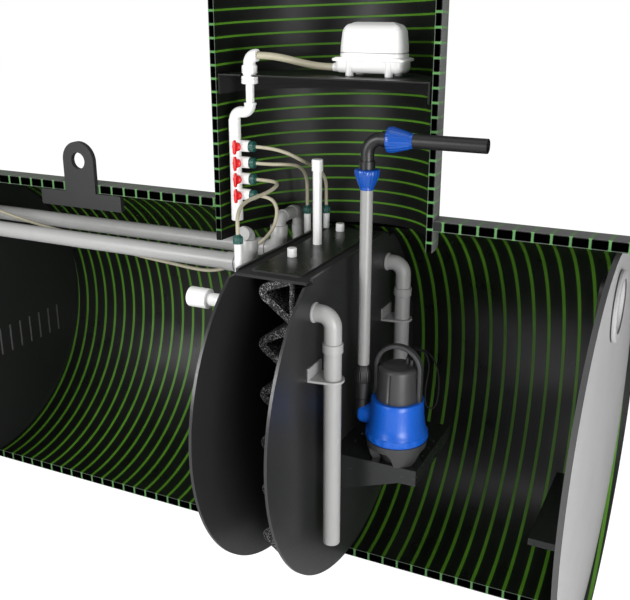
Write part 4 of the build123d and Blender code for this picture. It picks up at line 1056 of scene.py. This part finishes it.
deck_top = 0.841
leg_thickness = 0.045
leg_levels = [
    (deck_top, 0.126, 24), (0.870, 0.140, 27), (0.905, 0.152, 31), (0.925, 0.158, 38),
    (0.940, 0.160, 52),
]


def leg_rings(middle):
    """Strainer leg: a thick arc that widens upwards, so that the gaps are arches.

    Each of its levels is (height, outer radius, half angle in degrees).
    """
    rings = []
    for height, outer, half in leg_levels:
        around = np.radians(middle + half * np.linspace(-1, 1, 15))
        arc = np.column_stack([np.cos(around), np.sin(around)])
        outline = np.concatenate([arc * outer, arc[::-1] * (outer - leg_thickness)])
        rings.append(level_ring(outline, pump, height))
    return rings


lip = [(0.925, 0.158), (0.950, 0.1625), (0.964, 0.163), (0.964, 0.118), (0.925, 0.118)]
piece("strainer", [
    upright(*pump, lip, 96, closed=True),
    upright(*pump, [(deck_top, 0.078), (0.950, 0.090)], 48),
    *[loft(leg_rings(middle)) for middle in (-50, 70, 190)],
], pump_dark, "pump_base")

strap_foot = 1.133
strap_spring = 1.358
strap_reach = 0.119


def strap_rings():
    """Handle: a rounded strap, 22 mm by 40 mm, carried up one leg, over an arch and down again."""
    arch = np.linspace(np.pi, 0, 40)
    out = np.column_stack([np.cos(arch), np.sin(arch)])
    middle = np.array([pump[0], strap_spring]) + strap_reach * out
    first = [[pump[0] - strap_reach, strap_foot]]
    last = [[pump[0] + strap_reach, strap_foot]]
    middle = np.concatenate([first, middle, last])
    out = np.concatenate([[[-1, 0]], out, [[1, 0]]])
    outline = rounded_outline(0.022, 0.040, 0.006, 5)
    rings = np.empty((len(middle), len(outline), 3))
    rings[..., 0] = middle[:, None, 0] + outline[None, :, 0] * out[:, None, 0]
    rings[..., 1] = pump[1] + outline[None, :, 1]
    rings[..., 2] = middle[:, None, 1] + outline[None, :, 0] * out[:, None, 1]
    return rings


piece("strap_handle", [loft(strap_rings())], pump_dark, "pump_handle")

# %% [markdown]
# The growth medium is a mat of tangled plastic thread, folded to and fro between the discs. Its
# finish is black with pale threads, from two noises cut off at a level, and the points of its
# fine grid are moved, so that the edge is ragged too.

# %% Growth medium
medium = Finish("media_tangle", (0.03, 0.03, 0.03), 0.6)
tangle = medium.node(
    "ShaderNodeTexVoronoi",
    {"feature": "DISTANCE_TO_EDGE"},
    {"Vector": medium.place, "Scale": 85.0},
)
fleck = medium.noise(130.0, 4.0)
thread = medium.clamp((0.11 - tangle) * 16.0) * medium.clamp((fleck - 0.47) * 14.0)
threads = medium.blend(thread, (0.005, 0.005, 0.005), (0.62, 0.62, 0.61))
medium.feed("Base Color", threads)
medium.feed("Roughness", medium.clamp(0.5 + 0.3 * fleck))
medium.bump(thread + fleck, 0.004)

right_fold = 0.110
left_fold = -0.115
fold_pitch = 0.286
fold_line = [(right_fold, 1.861), (left_fold, 1.776)]
for fold in range(6):
    fold_line.append((right_fold, 1.608 - fold * fold_pitch))
    if fold < 5:
        fold_line.append((left_fold, 1.490 - fold * fold_pitch))
mat_half_thickness = 0.0205
mat_half_width = 0.474
mat_top = 1.8605
mat_bound = 0.9992


def mat_rings():
    """Folded mat: a flat strip section along a zigzag with tight bends, made ragged.

    Raggedness is a sum of sines of the place with unlike wavelengths, at most 2 mm each way.
    No point stays above mat_top, or further than mat_bound from the tank's axis.
    """
    line = bend_path([(x, 0, z) for x, z in fold_line], 0.030, 7)
    runs = [line[:1]]
    for before, after in zip(line, line[1:]):
        count = max(1, int(np.linalg.norm(after - before) / 0.010))
        share = np.linspace(0, 1, count + 1)[1:, None]
        runs.append(before + share * (after - before))
    line = np.concatenate(runs)
    tangent = np.gradient(line, axis=0)
    tangent /= np.linalg.norm(tangent, axis=1)[:, None]
    normal = np.cross(tangent, [0, 1.0, 0])
    across = np.linspace(-mat_half_width, mat_half_width, 96)
    top = np.column_stack([across, np.full(96, mat_half_thickness)])
    outline = np.concatenate([top, top[::-1] * [1, -1]])
    rings = line[:, None, :] + outline[None, :, 1, None] * normal[:, None, :]
    rings[..., 1] += outline[None, :, 0]
    x, y, z = rings[..., 0], rings[..., 1], rings[..., 2]
    rough = np.sin(310 * x + 170 * z) * np.sin(260 * y + 90 * z) + np.sin(420 * z - 350 * y)
    rings = rings + 0.001 * rough[..., None] * normal[:, None, :]
    rings[..., 2] = np.minimum(rings[..., 2], mat_top)
    from_axis = np.hypot(rings[..., 1], rings[..., 2] - tank_axis)
    squeeze = np.minimum(1.0, mat_bound / from_axis)
    rings[..., 1] *= squeeze
    rings[..., 2] = tank_axis + (rings[..., 2] - tank_axis) * squeeze
    return rings


piece("media_mat", [loft(mat_rings())], medium.material, "bio_media", crease=80)
dress(["media_tube"], medium.material)

# %% [markdown]
# The stage is a pale floor and soft light from large lamps. The background is white to the
# camera only, so it does not flood the object with light. The floor mixes plain white into its
# paint for the camera too, so a soft shadow stays.

# %% Stage
floor_reach = 30.0
floor_level = -0.001
floor_white_share = 0.75
floor_white_strength = 1.3
sky_share_on_object = 0.31
corners = ((-1, -1), (1, -1), (1, 1), (-1, 1))
floor_points = [(x * floor_reach, y * floor_reach, floor_level) for x, y in corners]
floor_mesh = bpy.data.meshes.new("floor")
floor_mesh.from_pydata(floor_points, [], [(0, 1, 2, 3)])
floor = add("floor", floor_mesh)
paint = Finish("floor", (0.9, 0.9, 0.9), 0.9)
white = {"Color": (1, 1, 1, 1), "Strength": floor_white_strength}
glow = paint.node("ShaderNodeEmission", {}, white)
share = paint.node("ShaderNodeLightPath", {}, {}, "Is Camera Ray") * floor_white_share
plain = Term(paint, paint.shader.outputs[0])
mixed = paint.node("ShaderNodeMixShader", {}, {0: share, 1: plain, 2: glow})
paint.tree.links.new(mixed.socket, paint.tree.nodes["Material Output"].inputs["Surface"])
floor_mesh.materials.append(paint.material)

world = bpy.data.worlds.new("studio")
bpy.context.scene.world = world
world.use_nodes = True
sky = world.node_tree
background = sky.nodes["Background"]
background.inputs["Color"].default_value = (1, 1, 1, 1)
rays = sky.nodes.new("ShaderNodeLightPath")
seen = sky.nodes.new("ShaderNodeMath")
seen.operation = "MAXIMUM"
sky.links.new(rays.outputs["Is Camera Ray"], seen.inputs[0])
sky.links.new(rays.outputs["Is Transmission Ray"], seen.inputs[1])
level = sky.nodes.new("ShaderNodeMapRange")
level.inputs["To Min"].default_value = sky_share_on_object
sky.links.new(seen.outputs[0], level.inputs["Value"])
sky.links.new(level.outputs[0], background.inputs["Strength"])


def softbox(name, place, aim, size, power):
    """Square area lamp at a place, turned to face the aim point, in metres and watts.

    A lamp shines against its own z axis, so that axis is laid from the aim to the place.
    """
    data = bpy.data.lights.new(name, "AREA")
    data.shape = "RECTANGLE"
    data.size = data.size_y = size
    data.energy = power
    lamp = add(name, data)
    lamp.location = place
    lamp.rotation_euler = Matrix(frame_of(np.subtract(place, aim))).transposed().to_euler()


softbox("key", (-3.2, -5.8, 3.4), (0.0, 0.0, 1.2), 3.0, 310)
softbox("fill", (4.8, -4.4, 1.6), (0.3, 0.0, 1.0), 3.0, 315)
softbox("top", (0.4, -1.4, 6.4), (0.2, 0.2, 1.8), 2.4, 25)
bpy.context.scene.view_settings.view_transform = "Standard"
print("lamps", [lamp.name for lamp in bpy.data.lights])
